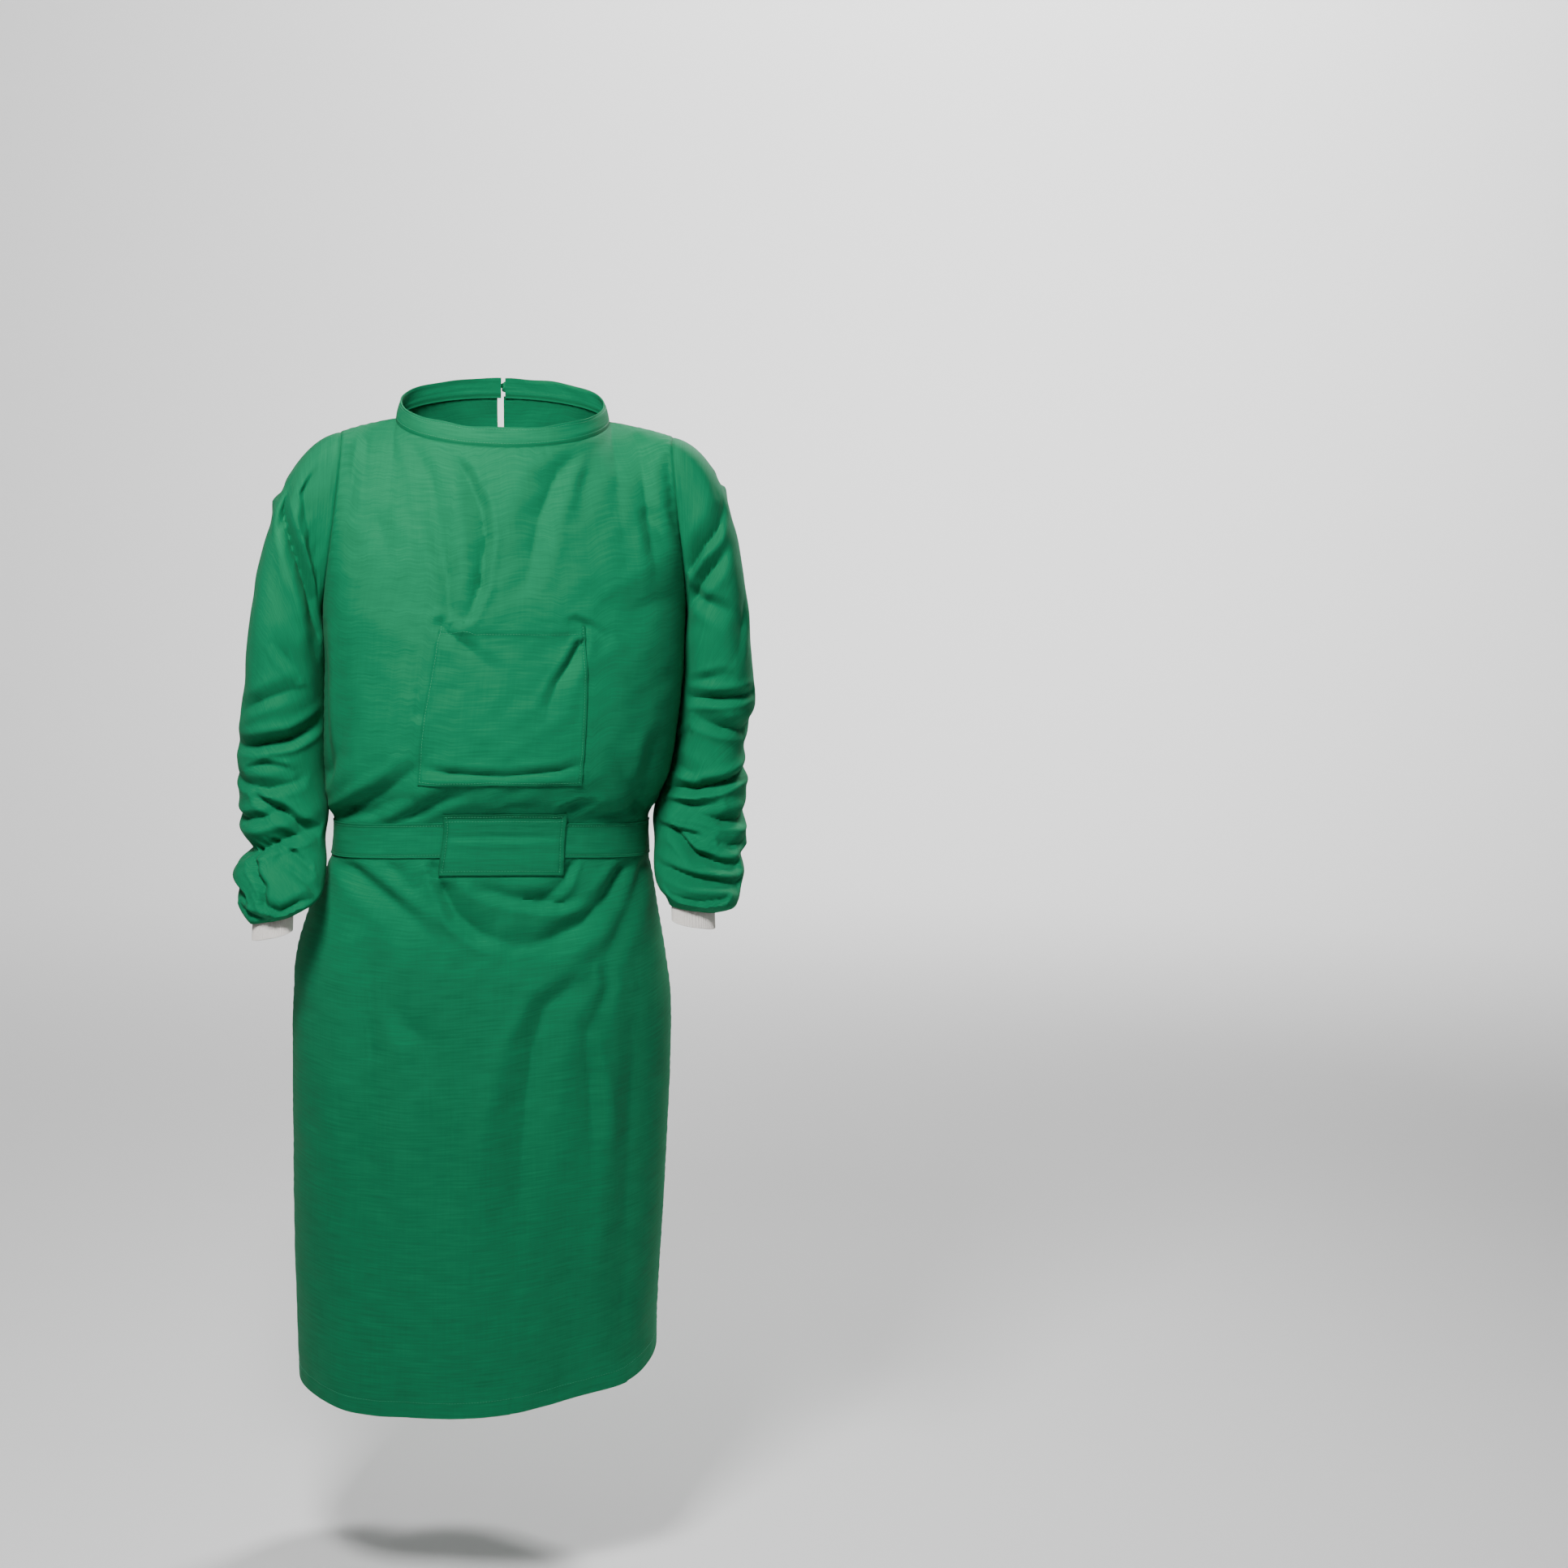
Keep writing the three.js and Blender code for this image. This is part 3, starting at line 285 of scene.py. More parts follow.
# %% Fold tables for the front and the back
FRONT_FOLDS = [
    [[-67, -30, 4, 8], [-43, -63, 8, 10], [-26, -101, 10, 11], [-21, -137, 11, 10], [-27, -191, 10, 9],
     [-40, -226, 6, 8]],
    [[-104, -29, 4, 11], [-86, -71, 7, 12], [-76, -137, 8, 12], [-65, -181, 8, 11], [-62, -226, 6, 9]],
    [[-152, -96, 1, 14], [-146, -120, 4, 13], [-134, -160, 1, 12]],
    [[90, -29, 5, 11], [59, -70, 9, 14], [43, -111, 10, 16], [35, -153, 7, 16], [27, -186, 2, 15]],
    [[108, -28, 4, 9], [96, -66, 5, 11], [90, -98, 1, 10]],
    [[160, -20, 2, 8], [166, -69, 6, 9], [172, -104, 7, 10], [184, -125, 5, 10], [196, -150, 1, 9]],
    [[172, -108, 3, 8], [176, -140, 4, 9], [182, -182, 1, 9]],
    [[196, -48, 4, 8], [203, -80, 6, 8], [208, -115, 2, 8]],
    [[-171, -30, 4, 8], [-176, -63, 6, 9], [-180, -110, 2, 10]],
    [[-150, -190, 2, 30], [-118, -204, 5, 34], [-84, -226, 2, 26]],
    [[108, -206, 2, 20], [140, -222, 5, 24], [200, -208, 3, 24]],
    [[-72, -236, 6, 7], [-56, -250, 6, 8], [-30, -272, 3, 9], [-10, -286, 1, 9]],
    [[88, -258, 6, 6], [76, -282, 6, 7], [62, -305, 5, 8], [52, -330, 2, 10]],
    [[84, -229, 3, 5], [98, -237, 5, 7], [120, -249, 2, 8]],
    [[-99, -316, 2, 5], [-98, -342, 3, 5]],
    [[-86, -405, 2, 6], [-62, -409, 5, 5], [0, -412, 4, 5], [66, -406, 5, 5], [86, -400, 2, 6]],
    [[-184, -352, 2, 14], [-198, -390, 6, 16], [-217, -424, 8, 14]],
    [[190, -352, 1, 14], [180, -385, 5, 14], [172, -426, 7, 14]],
    [[-190, -470, 16, 11], [-164, -450, 14, 12], [-128, -426, 10, 13], [-96, -398, 4, 14],
     [-80, -380, 1, 12]],
    [[-160, -470, 8, 9], [-140, -452, 7, 9], [-110, -440, 3, 9]],
    [[-118, -474, 10, 8], [-96, -456, 9, 9], [-66, -440, 6, 8], [-46, -434, 2, 7]],
    [[72, -456, 6, 7], [90, -449, 7, 7], [108, -448, 2, 7]],
    [[92, -478, 7, 8], [124, -470, 9, 9], [163, -459, 6, 9], [190, -446, 3, 9]],
    [[176, -470, 9, 11], [156, -436, 7, 12], [136, -400, 2, 13]],
    [[-20, -470, 4, 7], [10, -456, 4, 8], [36, -452, 1, 8]],
    [[-82, -520, 12, 7], [-70, -550, 13, 9], [-55, -578, 12, 11], [-27, -600, 10, 12], [10, -612, 4, 14]],
    [[80, -519, 9, 7], [66, -546, 7, 9], [40, -566, 3, 10]],
    [[-30, -546, 4, 7], [10, -558, 8, 8], [67, -566, 9, 8], [100, -560, 3, 9]],
    [[146, -526, 10, 8], [124, -562, 11, 11], [96, -590, 11, 13], [60, -606, 10, 14], [16, -620, 4, 16]],
    [[-184, -526, 9, 9], [-146, -552, 10, 10], [-110, -578, 8, 12], [-76, -612, 3, 16]],
    [[-130, -522, 5, 9], [-112, -546, 5, 11], [-92, -570, 1, 11]],
    [[170, -530, 5, 10], [150, -580, 5, 14], [124, -632, 4, 14], [110, -664, 1, 14]],
    [[122, -648, 3, 5], [127, -668, 5, 7], [118, -688, 4, 9], [100, -716, 1, 12]],
    [[84, -664, 5, 12], [50, -690, 9, 17], [36, -740, 12, 24], [28, -810, 14, 32], [22, -903, 13, 40],
     [14, -1010, 8, 48], [10, -1120, 4, 52]],
    [[98, -720, 3, 11], [104, -780, 9, 14], [106, -830, 7, 17], [108, -940, 2, 22]],
    [[-134, -676, 2, 14], [-116, -708, 7, 15], [-94, -728, 7, 15], [-88, -770, 2, 16]],
    [[-156, -640, 4, 15], [-160, -720, 8, 18], [-158, -800, 9, 22], [-166, -930, 8, 28],
     [-176, -1090, 4, 34]],
    [[-60, -700, 1, 20], [-58, -800, 4, 24], [-66, -930, 5, 30], [-70, -1060, 1, 36]],
    [[160, -690, 2, 18], [158, -800, 8, 22], [152, -950, 9, 28], [150, -1120, 5, 34]],
    [[72, -900, 1, 24], [76, -990, 4, 26], [80, -1130, 1, 30]],
    [[-213, -244, 2, 5], [-214, -300, 8, 6], [-214, -370, 8, 6], [-212, -420, 4, 6]],
]
BACK_FOLDS = [
    [[-184, -40, 4, 12], [-186, -110, 11, 13], [-184, -240, 11, 14], [-178, -340, 4, 14]],
    [[188, -40, 4, 12], [190, -120, 11, 13], [188, -280, 11, 14], [184, -430, 5, 14]],
    [[140, -130, 2, 18], [130, -230, 9, 20], [118, -360, 3, 20]],
    [[-50, -150, 2, 14], [-96, -126, 5, 16], [-150, -90, 2, 18]],
    [[52, -290, 3, 9], [96, -300, 5, 12], [150, -286, 2, 14]],
    [[-30, -300, 3, 9], [-80, -312, 5, 12], [-132, -300, 2, 14]],
    [[188, -424, 5, 13], [150, -446, 13, 13], [108, -474, 14, 12], [66, -502, 11, 10]],
    [[122, -384, 3, 14], [96, -430, 8, 12], [60, -496, 9, 10]],
    [[-34, -322, 1, 12], [-84, -352, 9, 15], [-130, -384, 11, 15], [-176, -416, 6, 14]],
    [[-190, -436, 10, 12], [-140, -458, 14, 12], [-96, -480, 12, 10], [-66, -496, 7, 9]],
    [[-112, -416, 5, 9], [-146, -428, 7, 10], [-178, -438, 3, 10]],
    [[-168, -480, 6, 9], [-150, -440, 4, 10], [-140, -400, 1, 10]],
    [[40, -480, 8, 8], [60, -450, 6, 9], [74, -410, 2, 10]],
    [[-60, -540, 7, 11], [-84, -590, 7, 14], [-106, -650, 5, 18], [-120, -720, 1, 20]],
    [[30, -552, 8, 10], [28, -640, 8, 13], [26, -740, 5, 15], [26, -840, 1, 16]],
    [[72, -540, 6, 11], [86, -600, 6, 14], [100, -680, 3, 18]],
    [[136, -560, 5, 16], [128, -700, 12, 22], [130, -880, 14, 27], [134, -1080, 8, 32], [136, -1170, 5, 34]],
    [[-100, -660, 4, 18], [-96, -800, 12, 24], [-102, -960, 13, 28], [-110, -1150, 7, 34]],
    [[-168, -560, 5, 16], [-176, -740, 11, 22], [-180, -960, 11, 26], [-184, -1150, 6, 30]],
    [[72, -760, 2, 18], [70, -920, 10, 22], [76, -1130, 7, 26]],
    [[-4, -660, 3, 8], [-10, -740, 8, 10], [-19, -880, 9, 12], [-25, -1060, 7, 14], [-28, -1170, 3, 14]],
]
print("folds:", len(FRONT_FOLDS), "in front,", len(BACK_FOLDS), "behind")


# %% How a fold presses into the cloth
FOLD_ROUND = 1.25
LIP, LIP_AWAY, LIP_WIDE = 0.3, 1.9, 0.9
LEAN_MOST, LEAN_CHANGE = 0.35, 2.4
RUMPLE_WAVES = 26


def valley(aside, width):
    """A soft trough whose two sides swell a little, as pushed-in cloth does."""
    trough = np.exp(-np.abs(aside / width) ** FOLD_ROUND)
    return trough - LIP * bell(np.abs(aside) - LIP_AWAY * width, LIP_WIDE * width)


def fold_depth(folds, x, z):
    """How deep all the folds of a list are at each place. A fold is a line of x, z, depth and width."""
    depth = np.zeros(np.shape(x))
    for number, fold in enumerate(folds):
        line = np.array(fold, float)
        best = np.full(np.shape(x), np.inf)
        aside = deep = wide = np.zeros(np.shape(x))
        for start, end in zip(line, line[1:]):
            run, rise = end[:2] - start[:2]
            length = math.hypot(run, rise)
            along = ((x - start[0]) * run + (z - start[1]) * rise) / length**2
            inside = np.clip(along, 0, 1)
            over = np.hypot(x - start[0] - inside * run, z - start[1] - inside * rise)
            nearer = over < best
            best = np.where(nearer, over, best)
            turned = np.sign((x - start[0]) * rise - (z - start[1]) * run)
            aside = np.where(nearer, turned * over, aside)
            deep = np.where(nearer, lerp(start[2], end[2], inside), deep)
            wide = np.where(nearer, lerp(start[3], end[3], inside), wide)
        lean = LEAN_MOST * math.cos(LEAN_CHANGE * number)
        depth += deep * valley(aside, wide * (1 + lean * np.tanh(aside / np.maximum(wide, 1))))
    return depth


def rumple(u, v, seed, shortest, longest, height):
    """Slight unevenness: many shallow waves of different lengths and directions."""
    draw = np.random.default_rng(seed)
    total = np.zeros(np.broadcast(u, v).shape)
    for _ in range(RUMPLE_WAVES):
        angle, phase = draw.uniform(0, np.pi), draw.uniform(0, 2 * np.pi)
        length = draw.uniform(shortest, longest)
        total += np.sin(2 * np.pi * (u * np.cos(angle) + v * np.sin(angle)) / length + phase)
    return total * height / 5


print("the lips of a fold rise by", LIP, "of its depth")

# %% [markdown]
# ## Cutting and laying a panel
# Each panel is a grid of points. A row is a height, or a share of the skirt, and a column a place
# across. The folds are pressed in along the surface's own direction, and they die away at the seams,
# so that neighbouring panels still meet there.

# %% Rows, hem and the way a surface faces
HEM_LINE = table("across front", [
    [-1, 13], [-0.7, 10], [-0.4, 3], [-0.1, 2], [0.1, 9], [0.3, 17], [0.6, 25], [1, 44],
])
hem_rise = profile(HEM_LINE, "front", "across")
CORNER_DROP = 30


def hem_height(across, facing, laps):
    if facing > 0:
        return HEM + hem_rise(across)
    corner = CORNER_DROP * (1 - ease(np.abs(across), 0.1, 0.75)) if laps else 0
    return HEM + hem_rise(np.sign(across)) * np.abs(across) ** 2 - corner


def facing_of(points, sign=1):
    """The outward direction at each point of a grid."""
    across, up = np.gradient(points, axis=0), np.gradient(points, axis=1)
    return unit(np.cross(across, up)) * sign


def run_along(points, axis):
    """Distance along a grid from its first column or row, in millimetres."""
    lengths = np.linalg.norm(np.diff(points, axis=axis), axis=-1)
    start = np.zeros_like(np.take(lengths, [0], axis=axis))
    return np.concatenate([start, np.cumsum(lengths, axis=axis)], axis=axis)


SKIRT_ROWS = steps(0, 1, 96)[:-1]
UPPER_ROWS = joined(
    steps(HIP, PATCH_LOW, 26), steps(PATCH_LOW, BELT_LOW, 6), steps(BELT_LOW, BELT_HIGH, 12),
    steps(BELT_HIGH, PATCH_HIGH, 4), steps(PATCH_HIGH, POCKET_LOW, 11),
    steps(POCKET_LOW, UNDERARM, 54), steps(UNDERARM, SHOULDER, 76),
)
print("rows of a panel:", len(SKIRT_ROWS) + len(UPPER_ROWS))


# %% Front and back panels as points
POCKET_SIDES = table("z left right", [
    [-1187, -70, 66], [-640, -74, 68], [-541, -75, 70], [-468, -71, 75], [-429, -99, 91], [-234, -74, 94],
    [-15, -40, 52],
])
pocket_left, pocket_right = profile(POCKET_SIDES, "left"), profile(POCKET_SIDES, "right")
FRONT_MARKS = np.array([0, 6, 9, 19, 22, 28])
POCKET_START, POCKET_END, FRONT_END = FRONT_MARKS[[2, 3, 5]]
OPENING = table("z left right", [
    [-1187, -92, -49], [-880, -64, -36], [-780, -44, -29], [-690, -19, -24], [-600, -3, -19],
    [-540, 1, -12], [-480, 2, -6], [-245, 2, -4], [-15, 4, -5],
])
free_edge = {1: profile(OPENING, "left"), -1: profile(OPENING, "right")}
CORNER_COLUMN = 0.6
LAP_TOP, LAP_FULL, LAP_REACH, LAP_LIFTED, LAP_TUCKED = -590, -740, 0.5, 4, -5
BELT_HOLDS, SEAM_HOLDS = 14, 32
PANEL_RUMPLE = (26, 95, 0.55)
SEAM_SINK, SEAM_WIDTH = 0.8, 2.2
PUCKER_HIGH, PUCKER_LONG, PUCKER_AWAY = 0.45, 13, 8


def front_across(columns, level):
    """Columns of the front follow the sides of the pocket and of the patch below it."""
    edge, same = armhole_across(level), np.ones_like(level)
    values = np.stack([
        -edge, -NECK_SHARE * same, across_at(pocket_left(level), level),
        across_at(pocket_right(level), level), NECK_SHARE * same, edge,
    ])
    i = np.clip(np.searchsorted(FRONT_MARKS, columns, side="right") - 1, 0, len(FRONT_MARKS) - 2)
    share = (columns - FRONT_MARKS[i]) / (FRONT_MARKS[i + 1] - FRONT_MARKS[i])
    return lerp(values[i], values[i + 1], share[:, None])


def back_across(side):
    """Columns of a back panel run from its side seam to its free edge."""

    def across(columns, level):
        corner = side * NECK_SHARE
        free = across_at(free_edge[side](level), level)
        column = columns[:, None]
        outer = lerp(side * armhole_across(level)[None, :], corner, column / CORNER_COLUMN)
        inner = lerp(corner, free[None, :], (column - CORNER_COLUMN) / (1 - CORNER_COLUMN))
        return np.where(column < CORNER_COLUMN, outer, inner)

    return across


def panel(across_of, folds, facing, columns, skirt=SKIRT_ROWS, upper=UPPER_ROWS, side=0, sign=1, seed=1):
    """A folded panel as a grid of points, with the sign that turns its facing outwards."""
    skirt, upper = np.asarray(skirt, float), np.asarray(upper, float)
    in_skirt = np.concatenate([np.ones(len(skirt), bool), np.zeros(len(upper), bool)])
    share = np.concatenate([skirt, np.ones(len(upper))])
    nominal = np.where(in_skirt, lerp(HEM, HIP, share), np.concatenate([skirt, upper]))
    across = across_of(np.asarray(columns, float), nominal)
    wanted = lerp(hem_height(across, facing, side < 0), HIP, share[None, :])
    level = np.where(in_skirt[None, :], np.maximum(wanted, HEM), nominal[None, :])
    smooth = smooth_panel(across, level, facing)
    dropped = np.minimum(smooth[..., 2], wanted)
    smooth[..., 2] = np.where(in_skirt[None, :], dropped, smooth[..., 2])
    if side:
        lift = LAP_TUCKED if side > 0 else LAP_LIFTED
        smooth[..., 1] += lift * ease(-level, -LAP_TOP, -LAP_FULL) * (1 - ease(side * across, 0, LAP_REACH))
    outward = facing_of(smooth, sign)
    belt = ease(level, BELT_LOW - BELT_HOLDS, BELT_LOW) * (1 - ease(level, BELT_HIGH, BELT_HIGH + BELT_HOLDS))
    top = ease(level, SHOULDER - SEAM_HOLDS, SHOULDER)
    by_patch = ease(level, PATCH_LOW - 14, PATCH_LOW - 2) * (1 - ease(level, PATCH_HIGH + 2, PATCH_HIGH + 12))
    held = 0.85 * by_patch * (1 - ease(np.abs(smooth[..., 0] + 2), 70, 84)) * (facing > 0)
    edge = (np.abs(across) / armhole_across(level)) ** 14
    fade = (1 - edge) * (1 - top) * (1 - belt) * (1 - held)
    depth = fold_depth(folds, smooth[..., 0], smooth[..., 2])
    depth = depth + rumple(smooth[..., 0], smooth[..., 2], seed, *PANEL_RUMPLE)
    return {"points": smooth - outward * (depth * fade)[..., None], "sign": sign}


FRONT_COLUMNS = np.unique(np.concatenate([steps(0, FRONT_END, 140), [0.07, FRONT_END - 0.07]]))
BACK_COLUMNS = np.unique(np.concatenate([steps(0, 1, 70), [0.005, 0.995]]))
FRONT_SEED, BACK_SEED = 11, 17
SIDES = ((-1, "right"), (1, "left"))
front = panel(front_across, FRONT_FOLDS, 1, FRONT_COLUMNS, seed=FRONT_SEED)
backs = {}
for side in (-1, 1):
    seed = BACK_SEED + side
    backs[side] = panel(back_across(side), BACK_FOLDS, -1, BACK_COLUMNS, side=side, sign=side, seed=seed)
print("front grid", front["points"].shape[:2], "back grids", backs[1]["points"].shape[:2])


# %% Seams draw the cloth in
def sink_seams(grid, side_seams):
    """Sinks the side seams and the top seam, puckers the cloth beside them, and keeps how near they are."""
    points = grid["points"]
    outward = facing_of(points, grid["sign"])
    from_side, along = run_along(points, 0), run_along(points, 1)
    from_top = along[:, -1:] - along
    near = np.zeros(points.shape[:2])
    for first in side_seams:
        distance = from_side if first else from_side[-1:] - from_side
        ripple = np.sin(2 * np.pi * along / PUCKER_LONG + 2.2 * np.sin(along / 31))
        near = np.maximum(near, bell(distance, SEAM_WIDTH))
        points = points + outward * (PUCKER_HIGH * ripple * bell(distance - PUCKER_AWAY, 7))[..., None]
    near = np.maximum(near, bell(from_top, SEAM_WIDTH))
    ripple = np.sin(2 * np.pi * from_side / PUCKER_LONG + 2 * np.sin(from_side / 27))
    points = points + outward * (PUCKER_HIGH * ripple * bell(from_top - PUCKER_AWAY, 7))[..., None]
    grid["points"] = points - outward * (SEAM_SINK * near)[..., None]
    # How near the seams are is kept as the mask for the painted shade along them.
    grid["seam"] = near


HEM_TURNED, BACK_EDGE_TURNED, LAYER, DRAWN_IN = 19, 12, 0.5, 0.55


def turn_hem(grid, free_edge_turned=False):
    """The double layer of a turned hem stands out a little, and the stitching that ends it draws in."""
    points = grid["points"]
    up = run_along(points, 1)
    shift = LAYER * (1 - ease(up, HEM_TURNED, HEM_TURNED + 2)) - DRAWN_IN * bell(up - HEM_TURNED, 2.2)
    across = run_along(points, 0)
    waver = 0.35 * np.sin(across / 4.1 + 2 * np.sin(across / 37)) * bell(up - HEM_TURNED + 6, 9)
    if free_edge_turned:
        away = across[-1:] - across
        layer = LAYER * (1 - ease(away, BACK_EDGE_TURNED, BACK_EDGE_TURNED + 2))
        shift = np.maximum(shift, layer) - 0.5 * bell(away - BACK_EDGE_TURNED, 2)
    grid["points"] = points + facing_of(points, grid["sign"]) * (shift + waver)[..., None]


turn_hem(front)
sink_seams(front, [True, False])
for grid in backs.values():
    turn_hem(grid, True)
    sink_seams(grid, [True])
print("seams sunk by", SEAM_SINK, "mm")

# %% [markdown]
# ## Laying the cloth
# A flat grid is the right primitive for cloth. Each of its vertices is carried to its place on the
# form, a UV map keeps the distances along the cloth for the weave, and Solidify gives it thickness.


# %% A flat grid becomes a shell of cloth
SMOOTH_ANGLE = math.radians(60)


def deselect():
    bpy.ops.object.select_all(action="DESELECT")


def apply_all(piece):
    bpy.context.view_layer.objects.active = piece
    for modifier in list(piece.modifiers):
        bpy.ops.object.modifier_apply(modifier=modifier.name)


def edit_all(piece, *operations):
    """Runs edit-mode operations on the whole of a piece."""
    deselect()
    piece.select_set(True)
    bpy.context.view_layer.objects.active = piece
    bpy.ops.object.mode_set(mode="EDIT")
    bpy.ops.mesh.select_all(action="SELECT")
    for operation in operations:
        operation()
    bpy.ops.object.mode_set(mode="OBJECT")


def lay_cloth(name, points, thickness, sign=1, closed=False, seam=None):
    """A grid primitive whose vertices are carried to the points, with the thickness inside them."""
    if seam is None:
        seam = np.zeros(points.shape[:2])
    u, v = run_along(points, 0), run_along(points, 1)
    print(name, "arcs", round(float(u[-1].max())), "by", round(float(v[:, -1].max())), "mm")
    u = u - u[points.shape[0] // 2]
    if sign < 0:
        points, u, v, seam = points[::-1], u[::-1], v[::-1], seam[::-1]
    columns, rows = points.shape[:2]
    deselect()
    bpy.ops.mesh.primitive_grid_add(x_subdivisions=columns - 1, y_subdivisions=rows - 1, size=1)
    piece = bpy.context.object
    piece.name = name
    mesh = piece.data
    mesh.name = name
    assert len(mesh.vertices) == columns * rows, (len(mesh.vertices), columns, rows)
    mesh.vertices.foreach_set("co", (points.transpose(1, 0, 2) * MM).ravel())
    corner = np.zeros(len(mesh.loops), int)
    mesh.loops.foreach_get("vertex_index", corner)
    flat = np.stack([u.T.ravel(), v.T.ravel()], axis=1)[corner] * MM
    mesh.uv_layers[0].name = "cloth"
    mesh.uv_layers["cloth"].uv.foreach_set("vector", flat.ravel())
    # The 'seam' attribute holds where the cotton gets painted shade along seams, stitching and sewn-on edges.
    mark = mesh.attributes.new("seam", "FLOAT", "POINT")
    mark.data.foreach_set("value", seam.T.ravel())
    mesh.update()
    if closed:
        edit_all(piece, lambda: bpy.ops.mesh.remove_doubles(threshold=0.00002))
    wall = piece.modifiers.new("thickness", "SOLIDIFY")
    wall.thickness = thickness * MM
    wall.offset = -1
    apply_all(piece)
    bpy.ops.object.shade_smooth_by_angle(angle=SMOOTH_ANGLE)
    return piece


def area_of(piece):
    """Area of one side of a shell of cloth, in square metres."""
    return sum(face.area for face in piece.data.polygons) / 2


print("cloth is laid from a grid primitive")

# %% [markdown]
# ## The cut of each piece
# Cloth hardly stretches, so every piece has to fit the flat shape that it was cut from. The table
# gives the width and length in metres of what shows, the area where the cut isn't a rectangle, how
# the cloth is held, and what it lies on or hangs from. A sleeve or cuff is stated all round.

# %% Flat sizes
CUTS = {
    "front": (0.64, 1.26, 0.70, "hung", ["neckband_cloth"]),
    "back_right": (0.33, 1.28, 0.35, "hung", ["neckband_cloth"]),
    "back_left": (0.38, 1.25, 0.36, "hung", ["neckband_cloth"]),
    "chest_pocket": (0.20, 0.205, 0.038, "laid", ["front_cloth"]),
    "belt": (0.041, 1.00, None, "gathered", ["front_cloth", "back_right_cloth", "back_left_cloth"]),
    "belt_patch": (0.15, 0.075, None, "laid", ["front_cloth", "belt_cloth"]),
    "neckband": (0.026, 0.69, None, "hung", []),
    "sleeve_right": (0.50, 0.67, 0.205, "hung", ["front_cloth", "back_right_cloth"]),
    "sleeve_left": (0.50, 0.66, 0.20, "hung", ["front_cloth", "back_left_cloth"]),
    "cuff_right": (0.19, 0.045, None, "gathered", ["sleeve_right_cloth"]),
    "cuff_left": (0.195, 0.045, None, "gathered", ["sleeve_left_cloth"]),
    "belt_knot": (0.041, 0.06, None, "folded", ["belt_cloth"]),
    "back_tie_knot": (0.012, 0.07, None, "folded", ["back_right_cloth", "back_left_cloth"]),
    "neck_tie_knot": (0.012, 0.07, None, "folded", ["neckband_cloth"]),
    "belt_tail_wide": (0.042, 0.205, None, "hung", ["belt_knot_cloth"]),
    "belt_tail_behind": (0.010, 0.225, 0.0019, "hung", ["belt_knot_cloth"]),
    "belt_tail_side": (0.014, 0.125, None, "hung", ["belt_knot_cloth"]),
    "belt_tail_long": (0.012, 0.26, None, "hung", ["belt_knot_cloth"]),
    "belt_loop": (0.016, 0.16, None, "folded", ["belt_knot_cloth"]),
    "back_tie_left": (0.010, 0.086, None, "hung", ["back_tie_knot_cloth"]),
    "back_tie_short": (0.012, 0.052, None, "hung", ["back_tie_knot_cloth"]),
    "back_tie_long": (0.010, 0.185, 0.0014, "hung", ["back_tie_knot_cloth"]),
    "neck_tie_curved": (0.012, 0.19, None, "hung", ["neck_tie_knot_cloth"]),
    "neck_tie_straight": (0.011, 0.25, None, "hung", ["neck_tie_knot_cloth"]),
}
print("cuts stated:", len(CUTS))


# %% Put a finished piece in its place
def settle(piece, finish, node):
    """Gives a piece its finish, hangs it on the root, hides its solid and prints how much of its cut it
    covers.
    """
    width, length, area, held, rests_on = CUTS[node]
    piece.data.materials.clear()
    piece.data.materials.append(finish)
    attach(piece, "root")
    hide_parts(node)
    flat = area if area else width * length
    print(piece.name, len(piece.data.polygons), "faces,", round(area_of(piece) / flat, 2), "of its cut")


# %% [markdown]
# ## The cloth's finish
# The gown is a plain-woven cotton of medium weight, dyed green all through and washed many times. Its
# yarns are a little uneven, which shows as short darker and lighter streaks along the weft. Washing
# makes the surface matt with a soft bloom. A picture of cloth would fix the light of the day it was
# taken, so the weave is worked out from noise and waves in real millimetres.


# %% Tools for materials
def linear(hex_colour):
    """An sRGB hex colour as the linear values that a shader takes."""
    parts = [int(hex_colour[i:i + 2], 16) / 255 for i in (1, 3, 5)]
    return tuple(p / 12.92 if p <= 0.04045 else ((p + 0.055) / 1.055) ** 2.4 for p in parts) + (1.0,)


def new_material(name, surface):
    """A material with the settings of its surface, and its shader."""
    material = bpy.data.materials.new(name)
    material.use_nodes = True
    shader = material.node_tree.nodes["Principled BSDF"]
    for setting, value in surface.items():
        shader.inputs[setting].default_value = value
    return material, shader


def add_node(material, kind, settings=None, links=None):
    """Adds a node, sets its properties and inputs, and links inputs to other nodes' outputs."""
    node = material.node_tree.nodes.new(kind)
    for name, value in (settings or {}).items():
        if isinstance(name, str) and hasattr(node, name):
            setattr(node, name, value)
        else:
            node.inputs[name].default_value = value
    for name, source in (links or {}).items():
        material.node_tree.links.new(source, node.inputs[name])
    return node


def per_metre(millimetres):
    """How many repeats of a size fit in a metre, which is the scale that a texture takes."""
    return 1000 / millimetres


def on_cloth(material, across, up):
    """Places on the flat cloth, counted in repeats of so many millimetres across and up."""
    flat = add_node(material, "ShaderNodeUVMap", {"uv_map": "cloth"})
    scale = {"Scale": (per_metre(across), per_metre(up), 1)}
    return add_node(material, "ShaderNodeMapping", scale, {"Vector": flat.outputs["UV"]}).outputs["Vector"]


def noise(material, where, detail, roughness=0.5, scale=1.0):
    """Cloudy unevenness between 0 and 1."""
    settings = {"Scale": scale, "Detail": detail, "Roughness": roughness}
    return add_node(material, "ShaderNodeTexNoise", settings, {"Vector": where}).outputs["Fac"]


def on_piece(material, detail, millimetres):
    """Unevenness that goes through the whole piece, with clouds of one size."""
    where = add_node(material, "ShaderNodeTexCoord").outputs["Object"]
    return noise(material, where, detail, scale=per_metre(millimetres))


